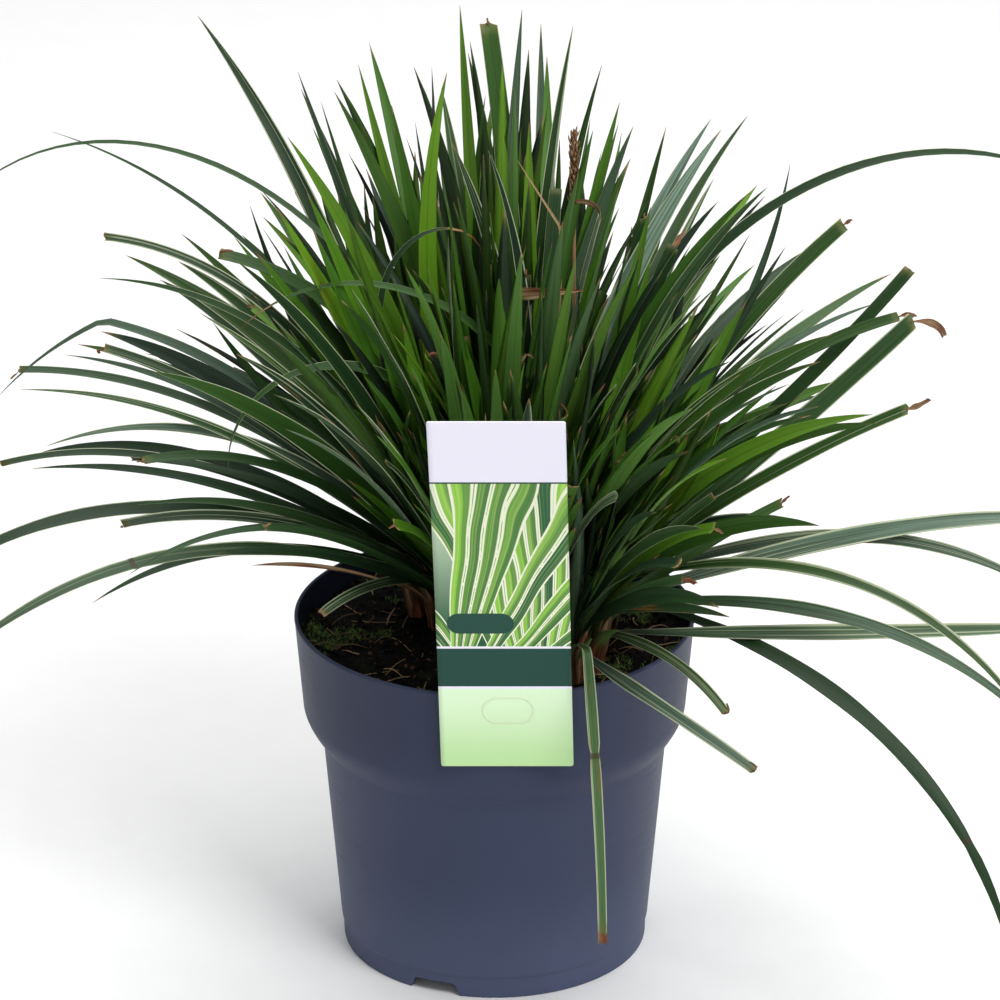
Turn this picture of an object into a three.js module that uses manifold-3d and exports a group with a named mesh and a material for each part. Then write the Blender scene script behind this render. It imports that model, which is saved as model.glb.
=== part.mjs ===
// A variegated sedge in its nursery pot: a clump of leafy shoots standing in compost,
// a dry flower spike, two dead leaves, and a care label hooked on the rim.
// Millimetres and degrees, +Z up. The origin is the middle of the pot's foot, on the surface
// that the pot stands on; -Y is the front, where the label hangs.

import * as THREE from 'three';
import { mergeVertices } from 'three/addons/utils/BufferGeometryUtils.js';
import Module from 'manifold-3d';

const wasm = await Module();
wasm.setup();

const CLEARANCE = 0.35; // gap that separate pieces keep to each other
const GOLDEN_ANGLE = 137.508;

// ---------------------------------------------------------------- driving dimensions

const POT = {
  height: 168.4,
  rimRadius: 95,
  bandTop: 166.4, // the rim's lip starts here
  bandFoot: 121.9, // lower edge of the straight upper band
  bandFootRadius: 91.1,
  bodyTop: 105.8, // the shoulder rounds in from the band to here
  bodyTopRadius: 82.1,
  bodyFoot: 11.2,
  bodyFootRadius: 74.2,
  creaseHeight: 10.4, // small ledge above the foot ring
  ringRadius: 73.1,
  ringThickness: 2.4,
  wall: 1.6,
  lip: 2, // thickness of the rim's lip
  floorUnderside: 7.4,
  floor: 2,
  sides: 36,
};
const NOTCH = { width: 25.5, topWidth: 20, height: 6.2, upright: 1.5, reach: 14, azimuths: [-113, 7, 127] };
const DRAIN_HOLE = { radius: 5, ringRadius: 48, count: 6, sides: 8 };

const SOIL = { edgeHeight: 154.5, topHeight: 157.5, flatRadius: 76, holeDepth: 14 };
const HOLE_SIDES = 6;

const CLUMP = {
  middle: new THREE.Vector2(6, 9),
  radius: 52,
  count: 41, // shoots of the even clump, before the bare side is left out
  bareFrom: 180, // the clump leaves the soil bare over this range of azimuth
  bareTo: 222,
  bareBeyond: 0.75, // as a share of the clump's radius
  runners: [[37, -58], [23, -50], [45, -43]], // shoots that came up at the front right
  collar: 158, // height at which the shoots leave the soil
  leanInside: 5, // lean of the leaves in the clump's middle
  leanOutside: 68, // and what they lean more at its edge
  leanPower: 1.15,
  leanUpTo: 1.2, // beyond this share of the radius the lean stays the same
  steeper: 0.5, // how much less the clump opens to the front and back, as a share
};
const STEM = {
  radius: 4.4,
  straight: 8, // it stands upright to here above the collar
  neck: 3.4,
  neckAt: 20,
  tipAt: 36,
  sides: 6,
  leafSide: 3.4, // leaves start this far from its axis, on the side they lean to
  fullSide: 12, // degrees off the shoot's own way for that
  lean: 12, // of its foot, at the clump's edge
};

const BLADE = {
  stations: 24, // steps of each centre line
  thickness: 1.25, // from the upper face to the keel
  start: 6, // lowest blade leaves its stem this far above the collar
  startStep: 1.5,
  baseShare: 0.22, // width at the base, as a share of the full width
  fullFrom: 0.45, // it has its full width from here on, as a share of its length
  tipPower: 4, // how late it runs to its point
  tipRound: 0.9, // and how full its sides are there
  cutTaper: 0.35, // a cut leaf is narrower at its end by this share
  turning: 50, // length in which an upright leaf takes up its lean
  turningLess: 30, // and how much shorter that is for a level one
  bendPower: 1.8,
  sweepPower: 1.5,
  facing: 35, // leaves at the sides roll their faces this far to the front
  facingUpright: 30, // and this much farther where they stand upright
  perShoot: 6,
  leastPerShoot: 4,
};
const RINGS = { lengthPerDegree: 10, moreFrom: 80, mostFrom: 115 };
const FILL = {
  seed: 340,
  lean: 0.68, // these leaves stand steeper than the clump opens, by this share
  leanLeft: 0.12, // and how much less so towards the left
  leanSpread: 0.55,
  leanFrom: 0.4, // share of that spread that makes a leaf steeper
  reach: 10, // how far a shoot's blades lean away from its own direction, in mm of the clump
  shareUpTo: 1.15,
  startStep: 0.75,
  longest: 285,
  shorterOutside: 60,
  lengthSpread: 70,
  width: 8,
  widthSpread: 4,
  bendInside: 14,
  bendOutside: 34,
  bendSpread: 14,
  rollSpread: 80,
  twistSpread: 50,
  cutShare: 0.16,
  cutTo: 0.72,
  shortest: 90,
  shrink: 0.92,
  straighten: 0.95,
  room: 0.38, // least distance of two centre lines, as a share of both widths
  leastRoom: 7.2,
  fusedTo: 0.08, // this first share of a leaf lies within its own shoot
};
// How far the filling leaves reach to each side, and the room they keep to the other pieces.
const ROOM = {
  x: 292,
  y: 182,
  inShoot: 0.15, // a leaf's first share, still within its shoot
  soilRadius: 84, // a low leaf has soil below it here, and the rim farther out
  standing: 14, // above the surface that the pot stands on
  label: 4,
};

const LABEL = {
  width: 61,
  thickness: 0.8,
  footHeight: 132,
  bandSlope: 5, // degrees from upright where it lies along the pot's band
  topSlope: 30, // it bends forward to this slope at its top
  height: 200, // measured along the strip
  middleX: 3.5,
  hookWidth: 24,
  hookDepth: 12.5,
  steps: 14,
};

// Leaves that give the clump its outline, one row each:
// shoot, heading, lean, bend, length, width, end, and for some the sideways sweep
// or the place and angle of a fold. Heading is the azimuth, lean the angle from upright once
// clear of the stem, bend what the leaf adds to that by its tip.
const MARKED_LEAVES = [
  // left side, from the top down
  [17, 140, 20, 30, 310, 9.5, 'point'],
  [1, 165, 12, 140, 425, 3, 'point'],
  [9, 175, 22, 52, 315, 3, 'point'],
  [30, 180, 14, 70, 255, 6.5, 'cut'],
  [4, 190, 10, 65, 240, 9, 'cut'],
  [12, 190, 20, 65, 265, 5.5, 'point'],
  [17, 180, 35, 65, 290, 5.5, 'point', { foldAt: 225, fold: 40 }],
  [17, 190, 40, 30, 220, 6.5, 'cut'],
  [30, 190, 38, 42, 225, 5.5, 'point'],
  [12, 200, 43, 40, 262, 5.5, 'point'],
  [17, 205, 40, 62, 245, 6.5, 'point'],
  [12, 210, 40, 50, 210, 7.5, 'cut'],
  [30, 200, 60, 90, 325, 8, 'point'],
  [17, 200, 60, 35, 175, 8, 'cut'],
  [12, 215, 62, 64, 310, 8, 'point'],
  [12, 225, 65, 45, 100, 7.5, 'cut'],
  [4, 205, 24, 5, 240, 12.5, 'point'],
  [9, 180, 28, 10, 215, 8, 'point'],
  // upright leaves, left to right
  [27, 180, 18, 0, 270, 6, 'point'],
  [6, 135, 30, 5, 260, 8, 'point'],
  [1, 140, 19, 0, 265, 8, 'point'],
  [14, 110, 28, 20, 278, 10.5, 'point'],
  [4, 185, 13, -26, 270, 12, 'point'],
  [1, 105, 14, 0, 284, 8, 'point'],
  [11, 120, 0, 17, 280, 12.5, 'cut'],
  [15, 270, 3, 5, 195, 11, 'point'],
  [5, 185, 1, 22, 245, 9.5, 'point'],
  [2, 215, 9, 0, 220, 9, 'point'],
  [8, 90, 28, 10, 268, 10.5, 'point'],
  [6, 70, 2, 12, 285, 8, 'point'],
  [3, 65, 3, 24, 280, 7, 'point'],
  [24, 90, 31, 0, 275, 8.5, 'point'],
  [3, 40, 11, 9, 245, 9, 'point'],
  [16, 85, 42, 4, 212, 11, 'cut'],
  [5, 320, 6, 12, 214, 10, 'cut'],
  // right side, from the top down
  [8, 30, 11, 30, 248, 10, 'point'],
  [16, 35, 16, 2, 232, 7, 'point'],
  [8, 5, 13, 120, 400, 5.5, 'point'],
  [13, 10, 30, 20, 235, 10.5, 'cut'],
  [21, 355, 47, -10, 236, 9, 'cut'],
  [26, 350, 48, -6, 225, 12.5, 'cut'],
  [13, 355, 33, 40, 229, 8, 'cut'],
  [26, 345, 50, 12, 200, 9, 'cut'],
  [26, 325, 48, -30, 145, 10, 'point'],
  [39, 0, 70, 28, 270, 10, 'point'],
  [34, 350, 65, 75, 264, 8, 'point'],
  [26, 325, 62, 88, 288, 7, 'point'],
  [39, 335, 74, 68, 262, 8, 'point'],
  [43, 350, 86, -4, 250, 9, 'point'],
  [34, 318, 86, 88, 318, 9, 'point'],
  [41, 290, 82, 30, 150, 8.5, 'cut', { sweep: 35 }],
  [43, 308, 78, 44, 106, 7, 'cut'],
  [41, 280, 70, 25, 190, 6.5, 'cut', { foldAt: 52, fold: 80 }],
  [31, 330, 68, 26, 100, 8, 'point'],
  [21, 15, 39, -30, 238, 5, 'point'],
  // back, out of sight from the front
  [40, 90, 64, 40, 134, 9, 'point'],
];

const FLOWER_SPIKE = {
  root: [37.5, 10.5],
  path: { heading: 95, lean: 2, bend: 2, length: 250 },
  culmRadius: 0.95,
  spikeRadius: 2.5,
  spikeFrom: 0.83,
  sides: 6,
};
const DRY_LEAVES = [
  { root: [-29, -1], path: { heading: 190, lean: 64, bend: 28, length: 105 }, width: 4 },
  { root: [53, 20], path: { heading: 356, lean: 70, bend: 18, length: 70 }, width: 4 },
];
const DRY_STEM_RADIUS = 1.7;

// ---------------------------------------------------------------- materials

const finish = (colour, roughness, metalness = 0) => ({ colour, roughness, metalness });
const FINISHES = {
  pot: finish(0x42475b, 0.45),
  soil: finish(0x17120e, 0.95),
  label: finish(0xc4dc9c, 0.35),
  blades: [finish(0x3f6428, 0.5), finish(0x4d7a2c, 0.5), finish(0x35562e, 0.5)],
  spike: finish(0x7a5a3c, 0.8),
  dryLeaf: finish(0x8a6a4a, 0.8),
};

// ---------------------------------------------------------------- small helpers

const radians = THREE.MathUtils.degToRad;
const ORIGIN = new THREE.Vector2();

function smooth(x) {
  const t = THREE.MathUtils.clamp(x, 0, 1);
  return t * t * (3 - 2 * t);
}

// Random numbers from 0 to 1, the same on every run.
function seeded(seed) {
  let state = seed >>> 0;
  return () => {
    state = (Math.imul(state, 1664525) + 1013904223) >>> 0;
    const mixed = Math.imul(state ^ (state >>> 15), 2246822519) >>> 0;
    return ((mixed ^ (mixed >>> 13)) >>> 0) / 4294967296;
  };
}

// A closed three.js geometry as a solid that can be joined and cut.
function solidOf(geometry) {
  const bare = geometry.clone();
  bare.deleteAttribute('normal');
  bare.deleteAttribute('uv');
  const merged = mergeVertices(bare, 1e-4);
  const corners = merged.index.array;
  const triangles = [];
  for (let i = 0; i < corners.length; i += 3) {
    const [a, b, c] = corners.slice(i, i + 3);
    if (a !== b && b !== c && c !== a) triangles.push(a, b, c);
  }
  return new wasm.Manifold(
    new wasm.Mesh({
      numProp: 3,
      vertProperties: new Float32Array(merged.attributes.position.array),
      triVerts: new Uint32Array(triangles),
    }),
  );
}

function geometryOf(solid) {
  const mesh = solid.getMesh();
  const geometry = new THREE.BufferGeometry();
  geometry.setAttribute('position', new THREE.BufferAttribute(mesh.vertProperties, 3));
  geometry.setIndex(new THREE.BufferAttribute(mesh.triVerts, 1));
  geometry.computeVertexNormals();
  return geometry;
}

// The solid's largest closed surface: scraps are dropped and hollows sealed inside are filled.
function wholeBody(solid) {
  const bodies = solid.decompose();
  return bodies.reduce((best, body) => (body.volume() > best.volume() ? body : best));
}

function namedMesh(name, solid, { colour, roughness, metalness }) {
  const material = new THREE.MeshStandardMaterial({ color: colour, roughness, metalness });
  const mesh = new THREE.Mesh(geometryOf(solid), material);
  mesh.name = name;
  return mesh;
}

// A profile of [radius, height] points turned round the Z axis.
function turned(profile, sides) {
  const points = profile.map(([radius, height]) => new THREE.Vector2(radius, height));
  return new THREE.LatheGeometry(points, sides).rotateX(Math.PI / 2);
}

// A closed skin over rings of equally many points, listed anticlockwise as seen from the far end.
// A last ring of one point makes a tip.
function loft(rings) {
  const positions = [];
  const starts = [];
  for (const ring of rings) {
    starts.push(positions.length / 3);
    for (const point of ring) positions.push(point.x, point.y, point.z);
  }
  const around = rings[0].length;
  const faces = [];
  for (let level = 0; level + 1 < rings.length; level += 1) {
    const isTip = rings[level + 1].length === 1;
    for (let j = 0; j < around; j += 1) {
      const next = (j + 1) % around;
      const [a, b] = [starts[level] + j, starts[level] + next];
      if (isTip) {
        faces.push(a, b, starts[level + 1]);
      } else {
        const [c, d] = [starts[level + 1] + next, starts[level + 1] + j];
        faces.push(a, b, c, a, c, d);
      }
    }
  }
  const last = rings.length - 1;
  for (let j = 1; j + 1 < around; j += 1) {
    faces.push(starts[0], starts[0] + j + 1, starts[0] + j);
    if (rings[last].length > 1) faces.push(starts[last], starts[last] + j, starts[last] + j + 1);
  }
  const geometry = new THREE.BufferGeometry();
  geometry.setAttribute('position', new THREE.Float32BufferAttribute(positions, 3));
  geometry.setIndex(faces);
  return geometry;
}

// ---------------------------------------------------------------- pot

// The outer wall from the foot up, as [radius, height].
function potOuterWall() {
  const shoulder = new THREE.QuadraticBezierCurve(
    new THREE.Vector2(POT.bodyTopRadius, POT.bodyTop),
    new THREE.Vector2(89.8, 115.4),
    new THREE.Vector2(POT.bandFootRadius, POT.bandFoot),
  );
  return [
    [POT.ringRadius - 0.6, 0],
    [POT.ringRadius, 0.8],
    [POT.ringRadius + 0.3, POT.creaseHeight],
    [POT.bodyFootRadius, POT.bodyFoot],
    ...shoulder.getPoints(3).map(({ x, y }) => [x, y]),
    [POT.rimRadius - 0.2, POT.bandTop],
  ];
}

// Radius of the outer wall at a height.
function potRadius(height) {
  const wall = potOuterWall();
  for (let i = 1; i < wall.length; i += 1) {
    const [[r0, h0], [r1, h1]] = [wall[i - 1], wall[i]];
    if (height <= h1) return r0 + ((r1 - r0) * (height - h0)) / (h1 - h0);
  }
  return POT.rimRadius;
}

function potSolid() {
  const floorTop = POT.floorUnderside + POT.floor;
  const lipRound = (POT.bandTop + POT.height) / 2; // the lip's edges are rounded off above this
  const inner = potOuterWall()
    .filter(([, height]) => height > POT.bodyFoot)
    .map(([radius, height]) => [radius - POT.wall, height])
    .reverse();
  const body = solidOf(
    turned(
      [
        [0, POT.floorUnderside],
        [POT.ringRadius - POT.ringThickness - 0.6, POT.floorUnderside],
        [POT.ringRadius - POT.ringThickness, 0],
        ...potOuterWall(),
        [POT.rimRadius, lipRound],
        [POT.rimRadius - 0.6, POT.height],
        [POT.rimRadius - POT.lip + 0.5, POT.height],
        [POT.rimRadius - POT.lip, lipRound],
        ...inner,
        [POT.bodyFootRadius - POT.wall - 0.4, floorTop],
        [0, floorTop],
      ],
      POT.sides,
    ),
  );
  const cuts = [...NOTCH.azimuths.map(footNotch), ...drainHoles()];
  return body.subtract(wasm.Manifold.union(cuts));
}

// A notch through the foot ring, with slanted sides, where water runs out.
function footNotch(azimuth) {
  const outline = new THREE.Shape([
    new THREE.Vector2(-NOTCH.width / 2, -1),
    new THREE.Vector2(NOTCH.width / 2, -1),
    new THREE.Vector2(NOTCH.width / 2, NOTCH.upright),
    new THREE.Vector2(NOTCH.topWidth / 2, NOTCH.height),
    new THREE.Vector2(-NOTCH.topWidth / 2, NOTCH.height),
    new THREE.Vector2(-NOTCH.width / 2, NOTCH.upright),
  ]);
  const block = new THREE.ExtrudeGeometry(outline, { depth: NOTCH.reach, bevelEnabled: false });
  block.rotateX(Math.PI / 2).rotateZ(Math.PI / 2); // outline upright, depth along +X
  block.translate(POT.ringRadius - NOTCH.reach / 2, 0, 0).rotateZ(radians(azimuth));
  return solidOf(block);
}

function drainHoles() {
  const holes = [];
  for (let i = 0; i < DRAIN_HOLE.count; i += 1) {
    const azimuth = radians((360 * (i + 0.5)) / DRAIN_HOLE.count);
    const hole = new THREE.CylinderGeometry(
      DRAIN_HOLE.radius,
      DRAIN_HOLE.radius,
      3 * POT.floor,
      DRAIN_HOLE.sides,
    );
    hole.rotateX(Math.PI / 2).translate(
      DRAIN_HOLE.ringRadius * Math.cos(azimuth),
      DRAIN_HOLE.ringRadius * Math.sin(azimuth),
      POT.floorUnderside + POT.floor / 2,
    );
    holes.push(solidOf(hole));
  }
  return holes;
}

// ---------------------------------------------------------------- shoots and their leaves

// How far the clump opens to an azimuth: 1 at the sides, less at the front and back.
function openness(azimuth) {
  return 1 - CLUMP.steeper * Math.sin(radians(azimuth)) ** 2;
}

// Lean of a leaf whose place is a share of the clump's radius: upright in the middle.
function leanAt(share, azimuth) {
  const outside = CLUMP.leanOutside * openness(azimuth);
  return CLUMP.leanInside + outside * Math.min(share, CLUMP.leanUpTo) ** CLUMP.leanPower;
}

function makeShoot(number, x, y) {
  const place = new THREE.Vector2(x, y).sub(CLUMP.middle);
  return { number, x, y, share: place.length() / CLUMP.radius, azimuth: degreesOf(place) };
}

function degreesOf(vector) {
  return THREE.MathUtils.radToDeg(Math.atan2(vector.y, vector.x));
}

// Shoots on a sunflower spiral, without the bare side, and the runners.
function layOutShoots() {
  const shoots = [];
  for (let i = 0; i < CLUMP.count; i += 1) {
    const radius = CLUMP.radius * Math.sqrt((i + 0.5) / CLUMP.count);
    const azimuth = radians(i * GOLDEN_ANGLE);
    const shoot = makeShoot(
      i,
      CLUMP.middle.x + radius * Math.cos(azimuth),
      CLUMP.middle.y + radius * Math.sin(azimuth),
    );
    const turn = (shoot.azimuth + 360) % 360;
    const onBareSide = turn > CLUMP.bareFrom && turn < CLUMP.bareTo;
    if (!(onBareSide && shoot.share > CLUMP.bareBeyond)) shoots.push(shoot);
  }
  CLUMP.runners.forEach(([x, y], i) => shoots.push(makeShoot(CLUMP.count + i, x, y)));
  return shoots;
}

// Where a leaf leaves its stem: on the side that it leans to, seen from the shoot's own way.
function sideOfStem({ azimuth, share }, heading, lean) {
  const [own, leaf] = [
    [azimuth, leanAt(share, azimuth)],
    [heading, lean],
  ].map(([turn, tilt]) => new THREE.Vector2(tilt, 0).rotateAround(ORIGIN, radians(turn)));
  const side = leaf.sub(own).multiplyScalar(STEM.leafSide / STEM.fullSide);
  side.clampLength(0, STEM.leafSide);
  return new THREE.Vector3(side.x, side.y, 0);
}

// Centre line of a leaf or stalk, as stations with a point, the way along, the way across and
// the way up from the upper face. It leaves the stem nearly upright, turns to its lean within
// the turning length, and bends on towards its tip. At the sides of the clump its face is
// rolled to the front.
function centreLine(root, { heading, lean, bend, length, start = BLADE.start, ...extra }) {
  const { sweep = 0, fold = 0, foldAt = Infinity, roll = 0, twist = 0 } = extra;
  const first = STEM.lean * Math.min(root.share, 1);
  const turning = BLADE.turning - BLADE.turningLess * (lean / 90) ** 2;
  const step = length / BLADE.stations;
  const place = new THREE.Vector3(root.x, root.y, CLUMP.collar + start);
  if (root.azimuth !== undefined) place.add(sideOfStem(root, heading, lean));
  const line = [];
  let before = null;
  for (let i = 0; i <= BLADE.stations; i += 1) {
    const along = i * step;
    const part = i / BLADE.stations;
    const folded = along > foldAt ? fold : 0;
    const leaning = first + (lean - first) * smooth(along / turning);
    const tilt = radians(leaning + bend * part ** BLADE.bendPower + folded);
    const azimuth = radians(heading + sweep * part ** BLADE.sweepPower);
    const way = new THREE.Vector3(
      Math.sin(tilt) * Math.cos(azimuth),
      Math.sin(tilt) * Math.sin(azimuth),
      Math.cos(tilt),
    );
    if (before) place.addScaledVector(before, step / 2).addScaledVector(way, step / 2);
    before = way;
    const level = new THREE.Vector3(-Math.sin(azimuth), Math.cos(azimuth), 0);
    const facing = BLADE.facing + BLADE.facingUpright * Math.cos(tilt);
    const turn = facing * Math.cos(azimuth) + roll + twist * part;
    const across = level.applyAxisAngle(way, radians(turn));
    const up = new THREE.Vector3().crossVectors(way, across);
    line.push({ point: place.clone(), way, across, up, part });
  }
  return line;
}

// Width of a leaf along its length: narrow at the stem, full to the middle, then to its tip.
function widthAt(part, width, end) {
  const base = BLADE.baseShare + (1 - BLADE.baseShare) * smooth(part / BLADE.fullFrom);
  if (end === 'cut') return width * base * (1 - BLADE.cutTaper * part);
  return width * base * (1 - part ** BLADE.tipPower) ** BLADE.tipRound;
}

// Stations that the solid leaf uses: more of them where the leaf is long or bends more.
function ringStations({ bend, fold = 0, length }) {
  const turns = Math.abs(bend) + length / RINGS.lengthPerDegree;
  const few = turns > RINGS.moreFrom ? 6 : 4;
  const steps = fold || turns > RINGS.mostFrom ? 8 : few;
  return Array.from({ length: steps + 1 }, (_, i) => (i * BLADE.stations) / steps);
}

// A leaf with a flat upper face and a keel below, ending in a point or cut square.
function bladeSolid(leaf) {
  const rings = ringStations(leaf).map((station) => {
    const { point, across, up, part } = leaf.line[station];
    const half = widthAt(part, leaf.width, leaf.end) / 2;
    if (part === 1 && leaf.end === 'point') return [point];
    const depth = Math.min(BLADE.thickness, half);
    return [
      point.clone().addScaledVector(across, half),
      point.clone().addScaledVector(across, -half),
      point.clone().addScaledVector(up, -depth),
    ];
  });
  return solidOf(loft(rings));
}

// A ring of points round a station, for stems and stalks.
function roundRing({ point, across, up }, radius, sides) {
  return Array.from({ length: sides }, (_, i) => {
    const angle = (2 * Math.PI * i) / sides;
    return point
      .clone()
      .addScaledVector(across, radius * Math.cos(angle))
      .addScaledVector(up, radius * Math.sin(angle));
  });
}

// The part of a stem that stands in its hole, straight down from a station.
function foot(station, depth) {
  const upright = {
    across: new THREE.Vector3(station.across.x, station.across.y, 0).normalize(),
    way: new THREE.Vector3(0, 0, 1),
  };
  upright.up = new THREE.Vector3().crossVectors(upright.way, upright.across);
  upright.point = station.point.clone().setZ(CLUMP.collar - depth);
  return upright;
}

function stemSolid(shoot) {
  const lean = leanAt(shoot.share, shoot.azimuth);
  const path = { heading: shoot.azimuth, lean, bend: 0 };
  const line = centreLine(shoot, { ...path, start: 0, length: STEM.tipAt });
  const at = (along) => line[Math.round((along / STEM.tipAt) * BLADE.stations)];
  const collar = foot(line[0], -STEM.straight);
  const sunk = foot(line[0], SOIL.holeDepth - CLEARANCE);
  return solidOf(
    loft([
      roundRing(sunk, STEM.radius, STEM.sides),
      roundRing(collar, STEM.radius, STEM.sides),
      roundRing(at(STEM.neckAt), STEM.neck, STEM.sides),
      [at(STEM.tipAt).point],
    ]),
  );
}

function makeLeaf(shoot, path, width, end) {
  return { shoot: shoot.number, ...path, width, end, line: centreLine(shoot, path) };
}

function markedLeaves(shoots) {
  const used = new Map();
  return MARKED_LEAVES.map(([number, heading, lean, bend, length, width, end, extra = {}]) => {
    const shoot = shoots.find((candidate) => candidate.number === number);
    const order = used.get(number) ?? 0;
    used.set(number, order + 1);
    const start = BLADE.start + order * BLADE.startStep;
    return makeLeaf(shoot, { heading, lean, bend, length, start, ...extra }, width, end);
  });
}

// True where a leaf keeps clear of the label, the pot, the soil, the floor and the plant's reach.
function hasRoom(line, width) {
  const spare = width / 2 + 1;
  return line.every(({ point: { x, y, z }, part }) => {
    if (part < ROOM.inShoot) return true;
    if (Math.abs(x) > ROOM.x || Math.abs(y) > ROOM.y || z < ROOM.standing) return false;
    const fromAxis = Math.hypot(x, y);
    if (fromAxis <= ROOM.soilRadius && z < CLUMP.collar + spare) return false;
    const atRim = fromAxis > ROOM.soilRadius && fromAxis < POT.rimRadius + spare;
    if (atRim && z < POT.height + spare) return false;
    const beside = Math.abs(x - LABEL.middleX) - LABEL.width / 2;
    return beside > ROOM.label + spare || y > labelY(z) + ROOM.label + spare;
  });
}

// True where two leaves of different shoots come nearer than their widths allow.
function touches(leaf, other) {
  if (leaf.shoot === other.shoot) return false;
  const limit = Math.max(FILL.room * (leaf.width + other.width), FILL.leastRoom);
  const chord = new THREE.Line3();
  const nearest = new THREE.Vector3();
  return leaf.line.some(({ point, part }) => {
    if (part < FILL.fusedTo) return false;
    return other.line.some((far, i) => {
      if (far.part < FILL.fusedTo || i === BLADE.stations) return false;
      chord.set(far.point, other.line[i + 1].point).closestPointToPoint(point, true, nearest);
      return nearest.distanceTo(point) < limit;
    });
  });
}

// The rest of a shoot's leaves fan out evenly round its own direction. One that would touch
// a neighbour's leaf or a solid piece is grown shorter, or left out.
function fillLeaves(shoot, standing) {
  const random = seeded(FILL.seed + 7919 * shoot.number);
  const marked = standing.filter((leaf) => leaf.shoot === shoot.number).length;
  const count = Math.max(BLADE.perShoot - marked, BLADE.leastPerShoot);
  const firstTurn = 360 * random();
  const grown = [];
  for (let i = 0; i < count; i += 1) {
    const turn = radians(firstTurn + i * GOLDEN_ANGLE);
    const reach = FILL.reach * Math.sqrt((i + 0.5) / count);
    const aim = new THREE.Vector2(shoot.x, shoot.y)
      .sub(CLUMP.middle)
      .add(new THREE.Vector2(reach * Math.cos(turn), reach * Math.sin(turn)));
    const share = Math.min(aim.length() / CLUMP.radius, FILL.shareUpTo);
    const heading = degreesOf(aim);
    const evenBend = (FILL.bendInside + FILL.bendOutside * share) * openness(heading);
    const bend = evenBend + FILL.bendSpread * (random() - 0.5);
    const roll = FILL.rollSpread * (random() - 0.5);
    const twist = FILL.twistSpread * (random() - 0.5);
    const width = FILL.width + FILL.widthSpread * random();
    const isCut = random() < FILL.cutShare;
    let length = FILL.longest - FILL.shorterOutside * share - FILL.lengthSpread * random();
    const opening = FILL.lean - FILL.leanLeft * Math.cos(radians(heading));
    let lean = (opening + FILL.leanSpread * (random() - FILL.leanFrom)) * leanAt(share, heading);
    if (isCut) length *= FILL.cutTo;
    const end = isCut ? 'cut' : 'point';
    const start = BLADE.start + (marked + i) * FILL.startStep;
    while (length > FILL.shortest) {
      const path = { heading, lean, bend, length, start, roll, twist };
      const leaf = makeLeaf(shoot, path, width, end);
      if (hasRoom(leaf.line, width) && !standing.some((other) => touches(leaf, other))) {
        grown.push(leaf);
        break;
      }
      length *= FILL.shrink;
      lean *= FILL.straighten;
    }
  }
  return grown;
}

function shootSolid(shoot, leaves) {
  const own = leaves.filter((leaf) => leaf.shoot === shoot.number);
  return wholeBody(wasm.Manifold.union([stemSolid(shoot), ...own.map(bladeSolid)]));
}

// ---------------------------------------------------------------- flower spike and dead leaves

function loneStalk({ root, path }) {
  const place = { x: root[0], y: root[1], share: 0 };
  return centreLine(place, { start: 0, ...path });
}

function spikeSolid() {
  const { culmRadius, spikeRadius, spikeFrom, sides } = FLOWER_SPIKE;
  const line = loneStalk(FLOWER_SPIKE);
  const levels = [0, 4, 8, 12, 16, 20, 21, 22, 23];
  const rings = levels.map((level) => {
    const share = (line[level].part - spikeFrom) / (1 - spikeFrom);
    const swell = share > 0 ? (spikeRadius - culmRadius) * Math.sin(Math.PI * share) ** 0.5 : 0;
    return roundRing(line[level], culmRadius + swell, sides);
  });
  const sunk = roundRing(foot(line[0], SOIL.holeDepth - CLEARANCE), culmRadius, sides);
  return solidOf(loft([sunk, ...rings, [line[BLADE.stations].point]]));
}

function dryLeafSolid(leaf) {
  const line = loneStalk(leaf);
  const stem = solidOf(
    loft([
      roundRing(foot(line[0], SOIL.holeDepth - CLEARANCE), DRY_STEM_RADIUS, STEM.sides),
      roundRing(line[1], DRY_STEM_RADIUS, STEM.sides),
      [line[4].point],
    ]),
  );
  const { bend, length } = leaf.path;
  const blade = bladeSolid({ line, bend, length, width: leaf.width, end: 'point' });
  return wholeBody(stem.add(blade));
}

// ---------------------------------------------------------------- soil

function soilSolid(shoots) {
  const underside = POT.floorUnderside + POT.floor + CLEARANCE;
  const gap = POT.wall + CLEARANCE;
  const wall = potOuterWall()
    .filter(([, height]) => height > POT.bodyFoot && height < SOIL.edgeHeight)
    .map(([radius, height]) => [radius - gap, height]);
  const body = solidOf(
    turned(
      [
        [0, underside],
        [POT.bodyFootRadius - POT.floor - gap, underside],
        ...wall,
        [potRadius(SOIL.edgeHeight) - gap, SOIL.edgeHeight],
        [SOIL.flatRadius, SOIL.topHeight],
        [0, SOIL.topHeight],
      ],
      POT.sides,
    ),
  );
  const holes = shoots.map(({ x, y }) => stemHole(x, y, STEM.radius));
  holes.push(stemHole(...FLOWER_SPIKE.root, FLOWER_SPIKE.culmRadius));
  for (const { root } of DRY_LEAVES) holes.push(stemHole(...root, DRY_STEM_RADIUS));
  return body.subtract(wasm.Manifold.union(holes));
}

function stemHole(x, y, stemRadius) {
  const radius = (stemRadius + CLEARANCE) / Math.cos(Math.PI / HOLE_SIDES);
  const hole = new THREE.CylinderGeometry(radius, radius, 2 * SOIL.holeDepth, HOLE_SIDES);
  return solidOf(hole.rotateX(Math.PI / 2).translate(x, y, CLUMP.collar));
}

// ---------------------------------------------------------------- care label

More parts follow.
